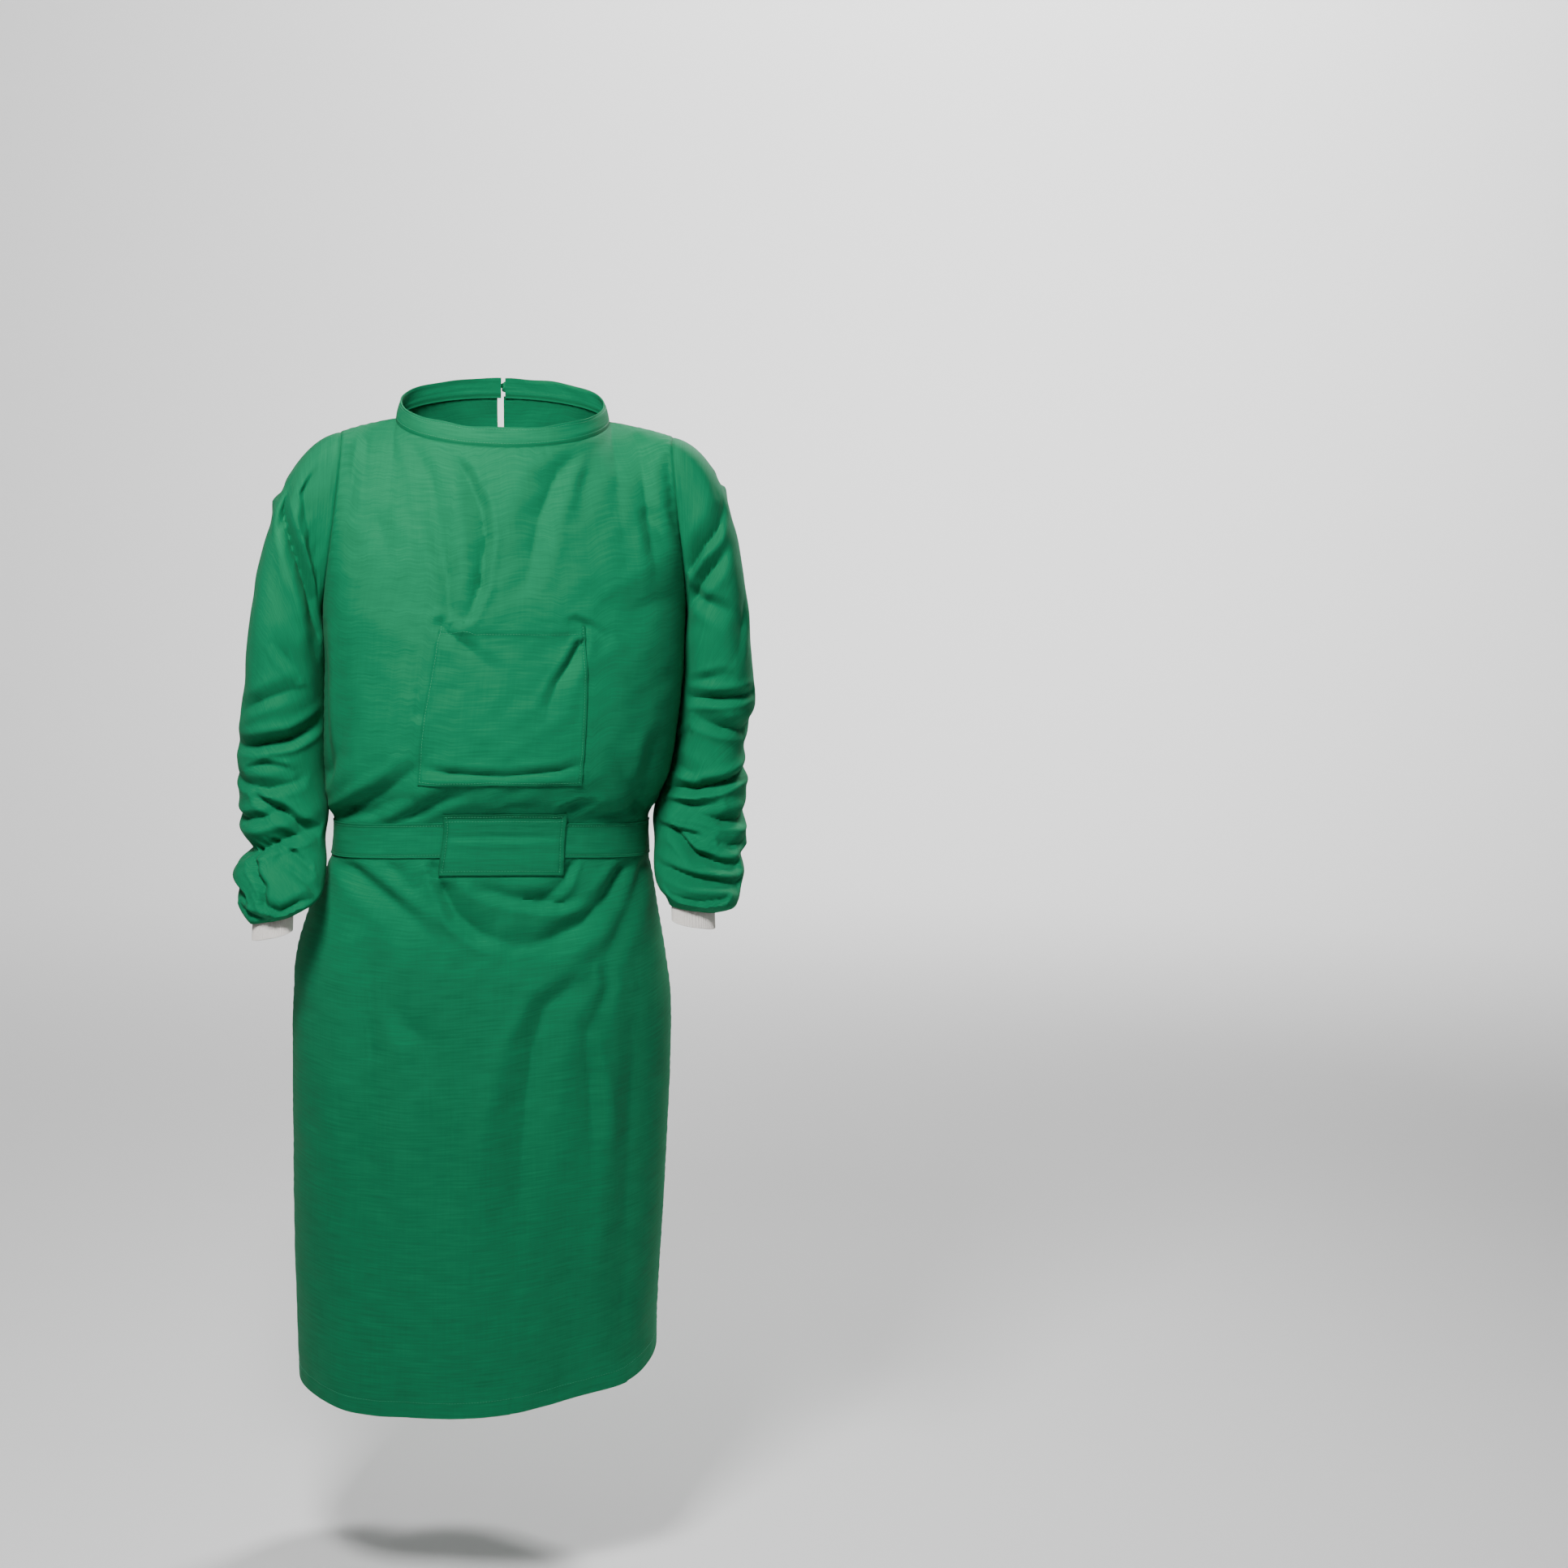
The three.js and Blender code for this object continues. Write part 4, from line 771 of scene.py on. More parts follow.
def bands(material, where, direction, distortion, finer):
    """Soft bands that run one way and waver."""
    settings = {"bands_direction": direction, "Scale": 0.5, "Distortion": distortion, **finer}
    return add_node(material, "ShaderNodeTexWave", settings, {"Vector": where}).outputs["Fac"]


def calculate(material, operation, *parts):
    """One step of arithmetic with numbers and with the outputs of other nodes."""
    numbers = {place: part for place, part in enumerate(parts) if isinstance(part, float)}
    outputs = {place: part for place, part in enumerate(parts) if place not in numbers}
    return add_node(material, "ShaderNodeMath", {"operation": operation, **numbers}, outputs).outputs[0]


def set_colour(material, shader, settings, links):
    """Mixes two colours and gives the result to the surface."""
    mixed = add_node(material, "ShaderNodeMix", {"data_type": "RGBA", **settings}, links)
    material.node_tree.links.new(mixed.outputs[2], shader.inputs["Base Color"])


def emboss(material, shader, height, strength, millimetres):
    """Lets the light fall as if the surface rose and sank by so much."""
    settings = {"Strength": strength, "Distance": millimetres * MM}
    bump = add_node(material, "ShaderNodeBump", settings, {"Height": height})
    material.node_tree.links.new(bump.outputs["Normal"], shader.inputs["Normal"])


print("material tools ready")


# %% Green cotton
# Cotton is spun from short fibres, woven over and under, and dyed as cloth. The eye sees a matt green
# without highlights, with short uneven streaks of yarn, and a faint paleness where washing has
# opened the fibres. Its threads lie about 0.4 mm apart, too fine for this distance, so they are drawn
# 1.5 mm apart.
YARN_RELIEF = 0.3
WASHED_CLOUD = 140


def woven_cotton(name, base, dark, light, streak_long, streak_high, thread):
    """A plain weave: uneven yarns along the weft, a fine bump of threads, and a soft matt surface."""
    material, shader = new_material(name, {
        "Roughness": 0.86, "Specular IOR Level": 0.11,
        "Sheen Weight": 0.04, "Sheen Roughness": 0.45, "Sheen Tint": linear("#8FD8B4"),
    })
    streaks = noise(material, on_cloth(material, streak_long, streak_high), 3.0, 0.6)
    warp = noise(material, on_cloth(material, streak_high * 1.3, streak_long * 1.5), 2.0)
    yarns = calculate(material, "MULTIPLY_ADD", streaks, 0.55, calculate(material, "MULTIPLY", warp, 0.12))
    tone = calculate(material, "MULTIPLY_ADD", on_piece(material, 3.0, WASHED_CLOUD), 0.25, yarns)
    ramp = add_node(material, "ShaderNodeValToRGB", None, {"Fac": tone})
    stops = ramp.color_ramp.elements
    stops.new(0.5)
    for number, (position, colour) in enumerate(((0.3, dark), (0.5, base), (0.7, light))):
        stops[number].position = position
        stops[number].color = linear(colour)
    # Painted shade: where the 'seam' attribute is high, along seams, stitching and the edges of sewn-on
    # pieces, the colour is multiplied by a grey-green. It stands for the shade in sunken seams, puckers and
    # crevices under edges, with a little real darkness of doubled cloth.
    seam = add_node(material, "ShaderNodeAttribute", {"attribute_name": "seam"})
    set_colour(material, shader, {"blend_type": "MULTIPLY", 7: linear("#C2CEC8")},
               {0: seam.outputs["Fac"], 6: ramp.outputs["Color"]})
    threads = on_cloth(material, thread, thread)
    finer = {"Detail": 1.0, "Detail Scale": 0.4}
    weft, over = [bands(material, threads, way, waver, finer) for way, waver in (("Y", 1.2), ("X", 1.0))]
    crossing = calculate(material, "MULTIPLY", weft, over)
    emboss(material, shader, calculate(material, "MULTIPLY_ADD", crossing, 0.5, yarns), 0.5, YARN_RELIEF)
    return material


cotton = woven_cotton("green_cotton", "#126E48", "#0F6240", "#177950", 46, 2.2, 1.5)
tie_cotton = woven_cotton("green_cotton_ties", "#126E48", "#0F603F", "#177950", 20, 1.6, 1.1)
print("cotton ready, a thread every 1.5 mm so that the weave shows at this distance")


# %% Off-white rib knit and sewing thread
# The cuffs are knitted from undyed cotton on a round machine, in columns of loops that stretch. Loose
# loops scatter the light, so the knit looks fuzzy and paler than woven cloth. The thread is spun
# polyester, dyed to match. It is smoother than cotton, so a row of stitches catches a little light.
def rib_knit(name, base, dark):
    """A knitted cotton cuff: columns of loops, matt and fuzzy."""
    material, shader = new_material(name, {
        "Roughness": 0.92, "Specular IOR Level": 0.2, "Sheen Weight": 0.3, "Sheen Roughness": 0.6,
    })
    loops = bands(material, on_cloth(material, 1.4, 1.8), "DIAGONAL", 1.5, {})
    fuzz = noise(material, on_cloth(material, 2.5, 2.5), 4.0)
    set_colour(material, shader, {6: linear(dark), 7: linear(base)}, {0: fuzz})
    emboss(material, shader, calculate(material, "MULTIPLY", loops, fuzz), 0.6, 0.5)
    return material


def spun_thread(name, base, dark):
    """Polyester sewing thread in nearly the cloth's colour, with a slight gloss."""
    material, shader = new_material(name, {"Roughness": 0.55})
    set_colour(material, shader, {6: linear(dark), 7: linear(base)}, {0: on_piece(material, 2.0, 6)})
    return material


knit = rib_knit("off_white_rib_knit", "#E6E1DC", "#CFC8C2")
thread = spun_thread("green_sewing_thread", "#2A9A6C", "#1B7D54")
print("knit and thread ready")

# %% [markdown]
# ## Body panels
# The front is one panel, and the back is two that meet, and then lap, along the middle. A cloth
# simulation could drop them on a body, but it would move the folds that the photograph shows. So each
# panel is a grid with the folds pressed in one by one.

# %% Lay the front and the two backs
CLOTH = 1.0


def dress(node, points, thickness, finish=cotton, slot="cotton", ending="cloth", **how):
    """Lays a piece on the form of its solid and settles it there."""
    settle(lay_cloth(f"{node}_{ending}", points, thickness, **how), finish, node)


# The seam masks give the panels painted shade along their side seams and their top edge.
dress("front", front["points"], CLOTH, seam=front["seam"])
for side, word in SIDES:
    dress(f"back_{word}", backs[side]["points"], CLOTH, sign=side, seam=backs[side]["seam"])

# %% [markdown]
# ## Chest pocket
# A large patch pocket is turned under at its edges, sewn on at three sides, and hangs open a little at
# the top. It is made from the panel's own points, moved out, so it follows every fold below it.

# %% Chest pocket
LAID_ON = 0.5
POCKET_CLOTH, POCKET_GAPE, POCKET_TURNED, POCKET_TOP_TURNED = 1.2, 2.6, 0.55, 0.6
POCKET_STITCHED, POCKET_TOP_STITCHED = 3, 13
pocket_columns = steps(POCKET_START, POCKET_END, 76)


def raised(grid, height):
    """The points of a grid, moved out by a height."""
    return grid["points"] + facing_of(grid["points"], grid["sign"]) * np.asarray(height)[..., None]


def from_edges(points):
    """Distance to the nearest of a grid's left, right and lower edges, and to its upper one."""
    across, up = run_along(points, 0), run_along(points, 1)
    sides = np.minimum(across, across[-1:] - across)
    return np.minimum(sides, up), up[:, -1:] - up


def part_of_front(columns, rows):
    """The part of the front panel that lies under something sewn on it."""
    return panel(front_across, FRONT_FOLDS, 1, columns, skirt=[], upper=rows, seed=FRONT_SEED)


pocket = part_of_front(pocket_columns, steps(POCKET_LOW, UNDERARM, 78))
near_edge, below_top = from_edges(pocket["points"])
bulge = np.sin(np.pi * np.linspace(0, 1, len(pocket_columns)))[:, None]
gape = POCKET_GAPE * bulge**0.7 * bell(below_top, 17)
turned_in = POCKET_TURNED * (1 - ease(np.minimum(near_edge, 40), 5, 8))
turned_in = turned_in + POCKET_TOP_TURNED * (1 - ease(below_top, 12, 15))
stitched = 0.7 * bell(near_edge - POCKET_STITCHED, 1.6) + 0.7 * bell(below_top - POCKET_TOP_STITCHED, 1.8)
pocket_height = LAID_ON + POCKET_CLOTH + gape + turned_in - stitched * 0.7 - 0.35 * bell(near_edge, 1.2)
pocket_points = raised(pocket, pocket_height)
# Painted shade: darker under the pocket's turned edges, where its shadow falls, and along its stitching,
# where the cloth puckers.
pocket_painted_shade = 0.35 * bell(near_edge, 2) + stitched * 0.4
dress("chest_pocket", pocket_points, POCKET_CLOTH, seam=pocket_painted_shade)

# %% [markdown]
# ## Belt
# The belt is a long strip, folded double, that goes from the patch round the body to its knot behind.
# There the pull of the knot gathers it into a bunch. It is built from the grids of the panels under it,
# one stretch after the other, so it lies on them all the way round.

# %% Belt
BELT_CLOTH = 1.4
KNOT_X, KNOT_Z, KNOT_HALF, KNOT_DEEP, KNOT_HIGH = -32, -529, 14, 9, 13
BELT_GATHER, BELT_LIFT, GATHER_REACH, LIFT_REACH = 0.6, 3, 95, 40
BUNCH_HIGH, BUNCH_FOLDS, BUNCH_WAVER, BUNCH_LONG = 1.6, 4.6, 0.5, 23
BELT_RUMPLE, BELT_STITCHED = (5, 24, 120, 0.35), 3.2
BELT_MIDDLE = 7
belt_rows = steps(BELT_LOW, BELT_HIGH, 2 * BELT_MIDDLE)


def part_of_back(columns, side):
    """The part of a back panel that lies under the belt."""
    return panel(back_across(side), BACK_FOLDS, -1, columns, [], belt_rows, side, side, BACK_SEED + side)


def column_where(grid, columns, x):
    """The place among a back panel's columns that lies at one distance from the middle."""
    line = grid["points"][:, BELT_MIDDLE, 0]
    order = np.argsort(line)
    return np.interp(x, line[order], columns[order])


back_fine = steps(0, 1, 100)
right_strip = part_of_back(back_fine, -1)
right_end = column_where(right_strip, back_fine, KNOT_X - KNOT_HALF - 0.8)
over_edge = column_where(right_strip, back_fine, KNOT_X + KNOT_HALF + 2.5)
stretches = [
    part_of_back(steps(right_end, 0, 60), -1)["points"],
    part_of_front(steps(0, FRONT_END, 150), belt_rows)["points"],
    part_of_back(steps(0, 1, 80), 1)["points"],
    part_of_back(steps(1, over_edge, 5), -1)["points"],
]
belt_line = np.concatenate([stretches[0], stretches[1][1:], stretches[2][1:], stretches[3]])
middle = belt_line[:, BELT_MIDDLE:BELT_MIDDLE + 1]
behind = middle[..., 1] > 0
near_knot = np.where(behind, bell(middle[..., 0] - KNOT_X, GATHER_REACH), 0)
knot_lift = np.where(behind, BELT_LIFT * bell(middle[..., 0] - KNOT_X, LIFT_REACH), 0)
belt_points = middle + (belt_line - middle) * (1 - BELT_GATHER * near_knot)[..., None]
belt_run = run_along(belt_points, 0)
belt_share = np.linspace(0, 1, len(belt_rows))[None, :]
belt_width = (BELT_HIGH - BELT_LOW) * belt_share
belt_edge = np.minimum(belt_width, belt_width[:, -1:] - belt_width)
over_middle = np.sin(np.pi * belt_share)
gathers = np.sin(belt_share * np.pi * BUNCH_FOLDS + BUNCH_WAVER * np.sin(belt_run / BUNCH_LONG))
bunch = near_knot * BUNCH_HIGH * gathers * over_middle
soft = rumple(belt_run, belt_width * 2.2, *BELT_RUMPLE) * over_middle
belt_stitching = bell(belt_edge - BELT_STITCHED, 1.6)
belt_height = LAID_ON + BELT_CLOTH + knot_lift + np.abs(bunch) + soft - 0.5 * belt_stitching
belt_raised = raised({"points": belt_points, "sign": 1}, belt_height)
# Painted shade along the belt's stitching, where the cloth is drawn in.
dress("belt", belt_raised, BELT_CLOTH, seam=0.7 * belt_stitching + 0 * belt_run)

# %% [markdown]
# ## Belt patch
# A small rectangle of doubled cloth is stitched over the belt in front, so that the belt can't slip
# down. It rises where it passes over the belt and has one crease along its middle.

# %% Patch that holds the belt in front
PATCH_CLOTH = 1.3
PATCH_CREASE, PATCH_RIDGE, PATCH_STITCHED = -497, -506, 5
OVER_BELT = BELT_CLOTH + 0.9
patch_rows = steps(PATCH_LOW, PATCH_HIGH, 36)
patch = part_of_front(pocket_columns, patch_rows)
patch_edge = np.minimum(*from_edges(patch["points"]))
above_belt = ease(patch_rows, PATCH_LOW + 1, BELT_LOW + 1)
above_belt = above_belt * (1 - ease(patch_rows, BELT_HIGH - 1, PATCH_HIGH - 1))
patch_fold = -1.6 * bell(patch_rows - PATCH_CREASE, 4) + 1.5 * bell(patch_rows - PATCH_RIDGE, 6)
patch_height = LAID_ON + PATCH_CLOTH + (above_belt * OVER_BELT)[None, :]
patch_height = patch_height + patch_fold[None, :] * bulge**0.6
patch_height = patch_height + 0.5 * (1 - ease(patch_edge, 4, 7))
patch_height = patch_height - 0.5 * bell(patch_edge - PATCH_STITCHED, 1.5)
patch_points = raised(patch, patch_height)
# Painted shade: darker at the patch's edges, where it casts a shadow, and along its stitching.
patch_painted_shade = bell(patch_edge, 2) + 0.6 * bell(patch_edge - PATCH_STITCHED, 1.6)
dress("belt_patch", patch_points, PATCH_CLOTH, seam=patch_painted_shade)

# %% [markdown]
# ## Neckband
# A narrow standing band, doubled and stitched at both edges, finishes the neckline. It leans in a
# little and its upper edge isn't quite even, because a doubled strip is stiff but never straight. It
# starts below the neck seam, so that no gap shows between it and the panels.

# %% Neckband
BAND_HIGH, BAND_LEAN, BAND_GAP, BAND_CLOTH = 21, 5, 5, 1.8
BAND_BELOW, BAND_LOW_STITCHED, BAND_TOP_STITCHED = -0.16, 0.14, 0.88


def band_surface(degrees, share):
    """A point of the band: its share of the height is 0 on the neck seam and 1 at the top."""
    degrees, share = np.broadcast_arrays(degrees, share)
    base = neck_seam(degrees)
    inward = places(-np.sin(np.radians(degrees)), np.cos(np.radians(degrees)), 0)
    up = places(0, 0, 0.7 + BAND_HIGH * share)
    return base + inward * (BAND_LEAN * np.maximum(share, 0) ** 1.2)[..., None] + up


BAND_END = 180 - math.degrees(math.asin(BAND_GAP / 2 / NECK_HALF))
band_turns = steps(-BAND_END, BAND_END, 260)[:, None]
band_shares = steps(BAND_BELOW, 1, 14)[None, :]
band = {"points": band_surface(band_turns, band_shares), "sign": 1}
band_run = run_along(band["points"], 0)
band_free = np.maximum(band_shares, 0) ** 1.5 * (1 - bell(np.abs(band_turns) - BAND_END, 12))
band_waver = rumple(band_run, band_shares * 60, 31, 30, 110, 0.9) * band_free
band_stitch = 0.5 * bell((band_shares - BAND_LOW_STITCHED) * BAND_HIGH, 1.4)
band_stitch = band_stitch + 0.35 * bell((band_shares - BAND_TOP_STITCHED) * BAND_HIGH, 1.4)
band_points = raised(band, band_waver - band_stitch)
band_points[..., 2] += 0.8 * rumple(band_run, 0 * band_run, 37, 40, 120, 1.0) * band_shares**2
# Painted shade at the foot of the band, in the crevice where it meets the panels.
band_painted_shade = bell(band_shares * BAND_HIGH, 2.5) + 0 * band_run
dress("neckband", band_points, BAND_CLOTH, seam=band_painted_shade)

# %% [markdown]
# ## Sleeves
# A sleeve starts on the armhole seam, falls from the shoulder and hangs in front of the hip. The
# length that the arm doesn't need stacks up in creases round the forearm and blouses over the cuff.
# One table gives the sleeve's section at each height: its outer and inner edge from the middle of the
# body, its place and depth from front to back, and how much the inside is raised. Another one holds
# the creases, as lines of places with the degrees round the arm, the height, the depth and the width.

# %% Sleeve tables
SLEEVE_COLUMNS = "z outer inner y deep rise"
SLEEVES = {
    -1: table(SLEEVE_COLUMNS, [
        [-300, 309, 219, 5, 66, 0],
        [-335, 312, 220, 8, 66, 0],
        [-365, 317, 220, 10, 65, 0],
        [-394, 318, 220, 10, 64, 0],
        [-423, 320, 220, 6, 63, 0],
        [-453, 317, 217, -1, 62, 0],
        [-483, 315, 213, -14, 60, 2],
        [-509, 303, 213, -33, 55, 5],
        [-534, 318, 210, -56, 56, 9],
        [-558, 311, 211, -80, 52, 12],
        [-574, 307, 214, -95, 46, 15],
        [-586, 299, 225, -103, 38, 16],
        [-590, 296, 243, -105, 26, 10],
    ]),
    1: table(SLEEVE_COLUMNS, [
        [-300, 306, 222, 5, 66, 0],
        [-332, 309, 220, 8, 66, 0],
        [-362, 303, 217, 10, 65, 0],
        [-392, 296, 213, 10, 64, 0],
        [-423, 300, 206, 6, 64, 0],
        [-453, 298, 195, -1, 63, 0],
        [-484, 297, 185, -14, 61, 2],
        [-510, 295, 184, -32, 57, 4],
        [-538, 291, 182, -55, 56, 8],
        [-557, 286, 183, -76, 52, 11],
        [-568, 282, 187, -90, 46, 13],
        [-577, 274, 194, -97, 39, 14],
        [-581, 256, 198, -99, 27, 9],
    ]),
}
CREASES = {
    -1: [
        [[34, -70, 4, 8], [46, -106, 12, 8], [78, -142, 15, 8], [103, -174, 16, 9], [136, -215, 15, 10],
         [150, -252, 8, 11]],
        [[62, -44, 3, 9], [70, -84, 8, 10], [96, -124, 6, 10], [120, -160, 3, 10]],
        [[-20, -94, -3, 13], [8, -98, -7, 12], [36, -112, -5, 11]],
        [[104, -110, 3, 18], [124, -150, 9, 20], [146, -196, 11, 20], [156, -250, 8, 18]],
        [[80, -262, 2, 8], [96, -280, 5, 9], [116, -302, 3, 9]],
        [[120, -250, 1, 14], [146, -280, 6, 14], [166, -320, 3, 12]],
        [[30, -346, 2, 9], [60, -336, 7, 8], [104, -320, 3, 9], [130, -318, 1, 9]],
        [[0, -386, 1, 9], [34, -390, 6, 7], [60, -388, 13, 7], [107, -380, 16, 7], [155, -362, 12, 8]],
        [[52, -414, 3, 4], [78, -408, 6, 5], [104, -414, 3, 5]],
        [[-10, -420, 1, 9], [34, -432, 6, 8], [80, -438, 8, 7], [120, -428, 3, 9]],
        [[62, -446, 5, 5], [92, -462, 11, 6], [118, -480, 11, 6], [146, -492, 6, 7]],
        [[-10, -470, 2, 7], [32, -476, 8, 6], [76, -470, 8, 6], [96, -462, 2, 7]],
        [[-20, -508, 3, 8], [20, -514, 8, 7], [60, -506, 14, 7], [100, -494, 13, 7], [150, -484, 6, 8]],
        [[78, -500, 4, 5], [102, -510, 8, 5], [132, -526, 7, 5]],
        [[40, -512, 6, 5], [60, -528, 10, 5], [74, -545, 9, 5], [70, -566, 5, 5]],
        [[88, -518, 5, 5], [110, -530, 9, 5], [136, -546, 8, 5], [156, -556, 4, 6]],
        [[-30, -536, 5, 6], [6, -548, 8, 6], [36, -560, 5, 6]],
        [[66, -562, 5, 5], [92, -572, 9, 5], [120, -562, 8, 5], [150, -558, 4, 6]],
        [[20, -570, 4, 5], [48, -578, 7, 5], [80, -582, 3, 5]],
        [[200, -330, 3, 10], [250, -322, 7, 11], [298, -334, 2, 11]],
        [[200, -392, 4, 9], [260, -400, 8, 10], [304, -384, 2, 10]],
        [[210, -450, 4, 9], [270, -444, 8, 10], [306, -456, 2, 10]],
        [[215, -512, 4, 8], [280, -520, 8, 9], [310, -506, 2, 9]],
        [[230, -556, 3, 7], [285, -552, 6, 7], [308, -560, 2, 7]],
        [[320, -70, 2, 12], [300, -130, 7, 13], [262, -190, 7, 13], [215, -250, 4, 12]],
    ],
    1: [
        [[-20, -70, -3, 13], [8, -74, -5, 12], [30, -84, -3, 11]],
        [[24, -74, 1, 9], [38, -99, 4, 9], [70, -126, 8, 9], [103, -147, 11, 8], [134, -170, 10, 8]],
        [[44, -142, 1, 9], [62, -152, 4, 9], [92, -172, 9, 9], [124, -194, 12, 8], [150, -214, 8, 9]],
        [[58, -232, 2, 10], [78, -221, 5, 10], [110, -210, 9, 9], [140, -202, 8, 9]],
        [[24, -196, 1, 14], [44, -236, 5, 14], [64, -270, 2, 14]],
        [[86, -298, 2, 8], [112, -304, 5, 8], [140, -310, 3, 8]],
        [[30, -322, 3, 6], [60, -326, 9, 6], [100, -328, 12, 6], [141, -328, 9, 7]],
        [[0, -356, 1, 9], [36, -368, 7, 8], [84, -364, 10, 7], [120, -352, 4, 9]],
        [[136, -372, 3, 8], [160, -379, 8, 8], [180, -384, 6, 8]],
        [[96, -428, 2, 7], [118, -420, 5, 7], [150, -410, 6, 7], [176, -400, 4, 8]],
        [[172, -440, 8, 7], [150, -439, 13, 6], [107, -439, 15, 6], [78, -433, 15, 6], [48, -426, 11, 6],
         [10, -418, 5, 7], [-20, -414, 1, 8]],
        [[80, -456, 4, 6], [110, -458, 9, 6], [150, -455, 7, 7]],
        [[-10, -468, 2, 8], [30, -478, 8, 7], [66, -477, 10, 6], [96, -468, 6, 6], [130, -466, 4, 6]],
        [[96, -492, 5, 5], [124, -487, 10, 5], [156, -484, 8, 6]],
        [[126, -490, 8, 5], [112, -500, 13, 5], [98, -513, 14, 5], [72, -523, 12, 5], [40, -528, 6, 6]],
        [[160, -526, 6, 5], [126, -532, 10, 5], [92, -541, 11, 5], [56, -546, 8, 5], [30, -548, 4, 6]],
        [[-30, -512, 4, 8], [0, -520, 6, 8], [30, -514, 3, 8]],
        [[54, -562, 4, 4], [96, -564, 8, 5], [140, -556, 6, 5]],
        [[70, -500, 4, 5], [50, -506, 7, 5], [20, -504, 4, 6]],
        [[205, -330, 3, 10], [262, -338, 7, 11], [300, -326, 2, 11]],
        [[200, -392, 4, 9], [252, -384, 8, 10], [300, -398, 2, 10]],
        [[212, -452, 4, 9], [272, -460, 8, 10], [306, -446, 2, 10]],
        [[208, -512, 4, 8], [264, -506, 8, 9], [308, -518, 2, 9]],
        [[230, -552, 3, 7], [285, -556, 6, 7], [308, -548, 2, 7]],
        [[318, -70, 2, 12], [296, -130, 7, 13], [262, -185, 7, 13], [218, -245, 4, 12]],
    ],
}
DEGREE_LONG = 1.15
print("sleeve creases:", [len(CREASES[side]) for side in (-1, 1)])

# %% Sleeve surface
START_UNDER, START_OVER, START_DROP = 14, 245, 0.18
END_UNDER, END_OVER = 70, 300
SLEEVE_OUT, SLEEVE_LEANS = -1.2, 5.5
CREASE_DEEP, CREASES_FREE = 1.15, 45
SLEEVE_SEED, SLEEVE_RUMPLE = 41, (30, 90, 0.45)


def sleeve_ring(rows, side):
    """The section of a sleeve: a function of the turn round the arm and of the height."""
    outer, inner, middle_y, deep, rise = [profile(rows, name) for name in SLEEVE_COLUMNS.split()[1:]]

    def ring(turn, z, shrink=0.0):
        sine, cosine = np.sin(np.radians(turn)), np.cos(np.radians(turn))
        half = (outer(z) - inner(z)) / 2 - shrink
        x = side * ((outer(z) + inner(z)) / 2 + half * squared(cosine))
        return places(x, middle_y(z) - (deep(z) - shrink) * squared(sine), z + rise(z) * (1 - cosine) / 2)

    return ring


def crease_depth(creases, turn, z):
    """The creases of a sleeve, on the cloth laid flat: one degree round the arm is a little over 1 mm."""
    total = np.zeros(np.broadcast(turn, z).shape)
    for round_again in (-360, 0, 360):
        lines = []
        for crease in creases:
            lines.append([[(at + round_again) * DEGREE_LONG, *rest] for at, *rest in crease])
        total += fold_depth(lines, (turn + 0 * z) * DEGREE_LONG, z)
    return total


def sleeve_points(side):
    """A sleeve as a grid: 0 degrees is outside the arm, 90 in front, and the seam is inside at 180."""
    rows, creases = SLEEVES[side], CREASES[side]
    ring, first, last = sleeve_ring(rows, side), rows["z"].max(), rows["z"].min()
    turn = steps(-180, 180, 150)[:, None]
    from_seam = 180 - np.abs(turn)
    cap = steps(0, 1, 84)[None, :]
    level = lerp(SHOULDER, UNDERARM, np.abs(turn) / 180)
    in_front = smooth_panel(side * armhole_across(level), level, 1)
    from_behind = smooth_panel(side * armhole_across(level), level, -1)
    start = np.where((turn >= 0)[..., None], in_front, from_behind) + places(side * SLEEVE_OUT, 0, 0)
    over = (1 + np.cos(np.radians(turn))) / 2
    out = lerp(START_UNDER, START_OVER, over)
    end = ring(turn, first)
    down = unit(ring(turn, first - 1) - end) * lerp(END_UNDER, END_OVER, over)[..., None]
    leaving = places(side * out, 0, -START_DROP * out)
    upper = hermite(cap[..., None], start, leaving, end, down)
    lower = ring(turn, steps(first, last, 130)[None, 1:])
    smooth = np.concatenate([upper, lower], axis=1)
    centre_level = np.minimum(smooth[..., 2], first)
    centre = (ring(0, centre_level) + ring(180, centre_level)) / 2
    inward = (centre - smooth) * np.array([1, 1, 0])
    fade = np.concatenate([ease(cap, 0, 0.3), np.ones((1, lower.shape[1]))], axis=1)
    inside = bell(from_seam, CREASES_FREE)
    depth = crease_depth(creases, turn, smooth[..., 2]) * fade * (1 - inside) * CREASE_DEEP
    around = run_along(smooth, 0)
    leans = bell(from_seam, 62) * ease(-smooth[..., 2], 225, 265) * (1 - ease(-smooth[..., 2], 455, 500))
    smooth = smooth - places(side * SLEEVE_LEANS * leans, 0, 0)
    depth = depth + rumple(around, smooth[..., 2], SLEEVE_SEED + side, *SLEEVE_RUMPLE) * fade * (1 - inside)
    return smooth + unit(inward) * depth[..., None], run_along(smooth, 1)


for side, word in SIDES:
    points, along = sleeve_points(side)
    points[-1] = points[0]
    # Painted shade along the armhole seam, where the sleeve meets the body.
    near = bell(along, SEAM_WIDTH)
    sunk = points - facing_of(points, side) * (SEAM_SINK * near)[..., None]
    sunk[-1] = sunk[0]
    dress(f"sleeve_{word}", sunk, CLOTH, sign=side, closed=True, seam=near)

# %% [markdown]
# ## Cuffs
# A tube of rib knit closes each sleeve round the wrist. Hardly anything of it shows, so it is a plain
# tube that follows the sleeve's last section, a little smaller, with a rib every few millimetres.

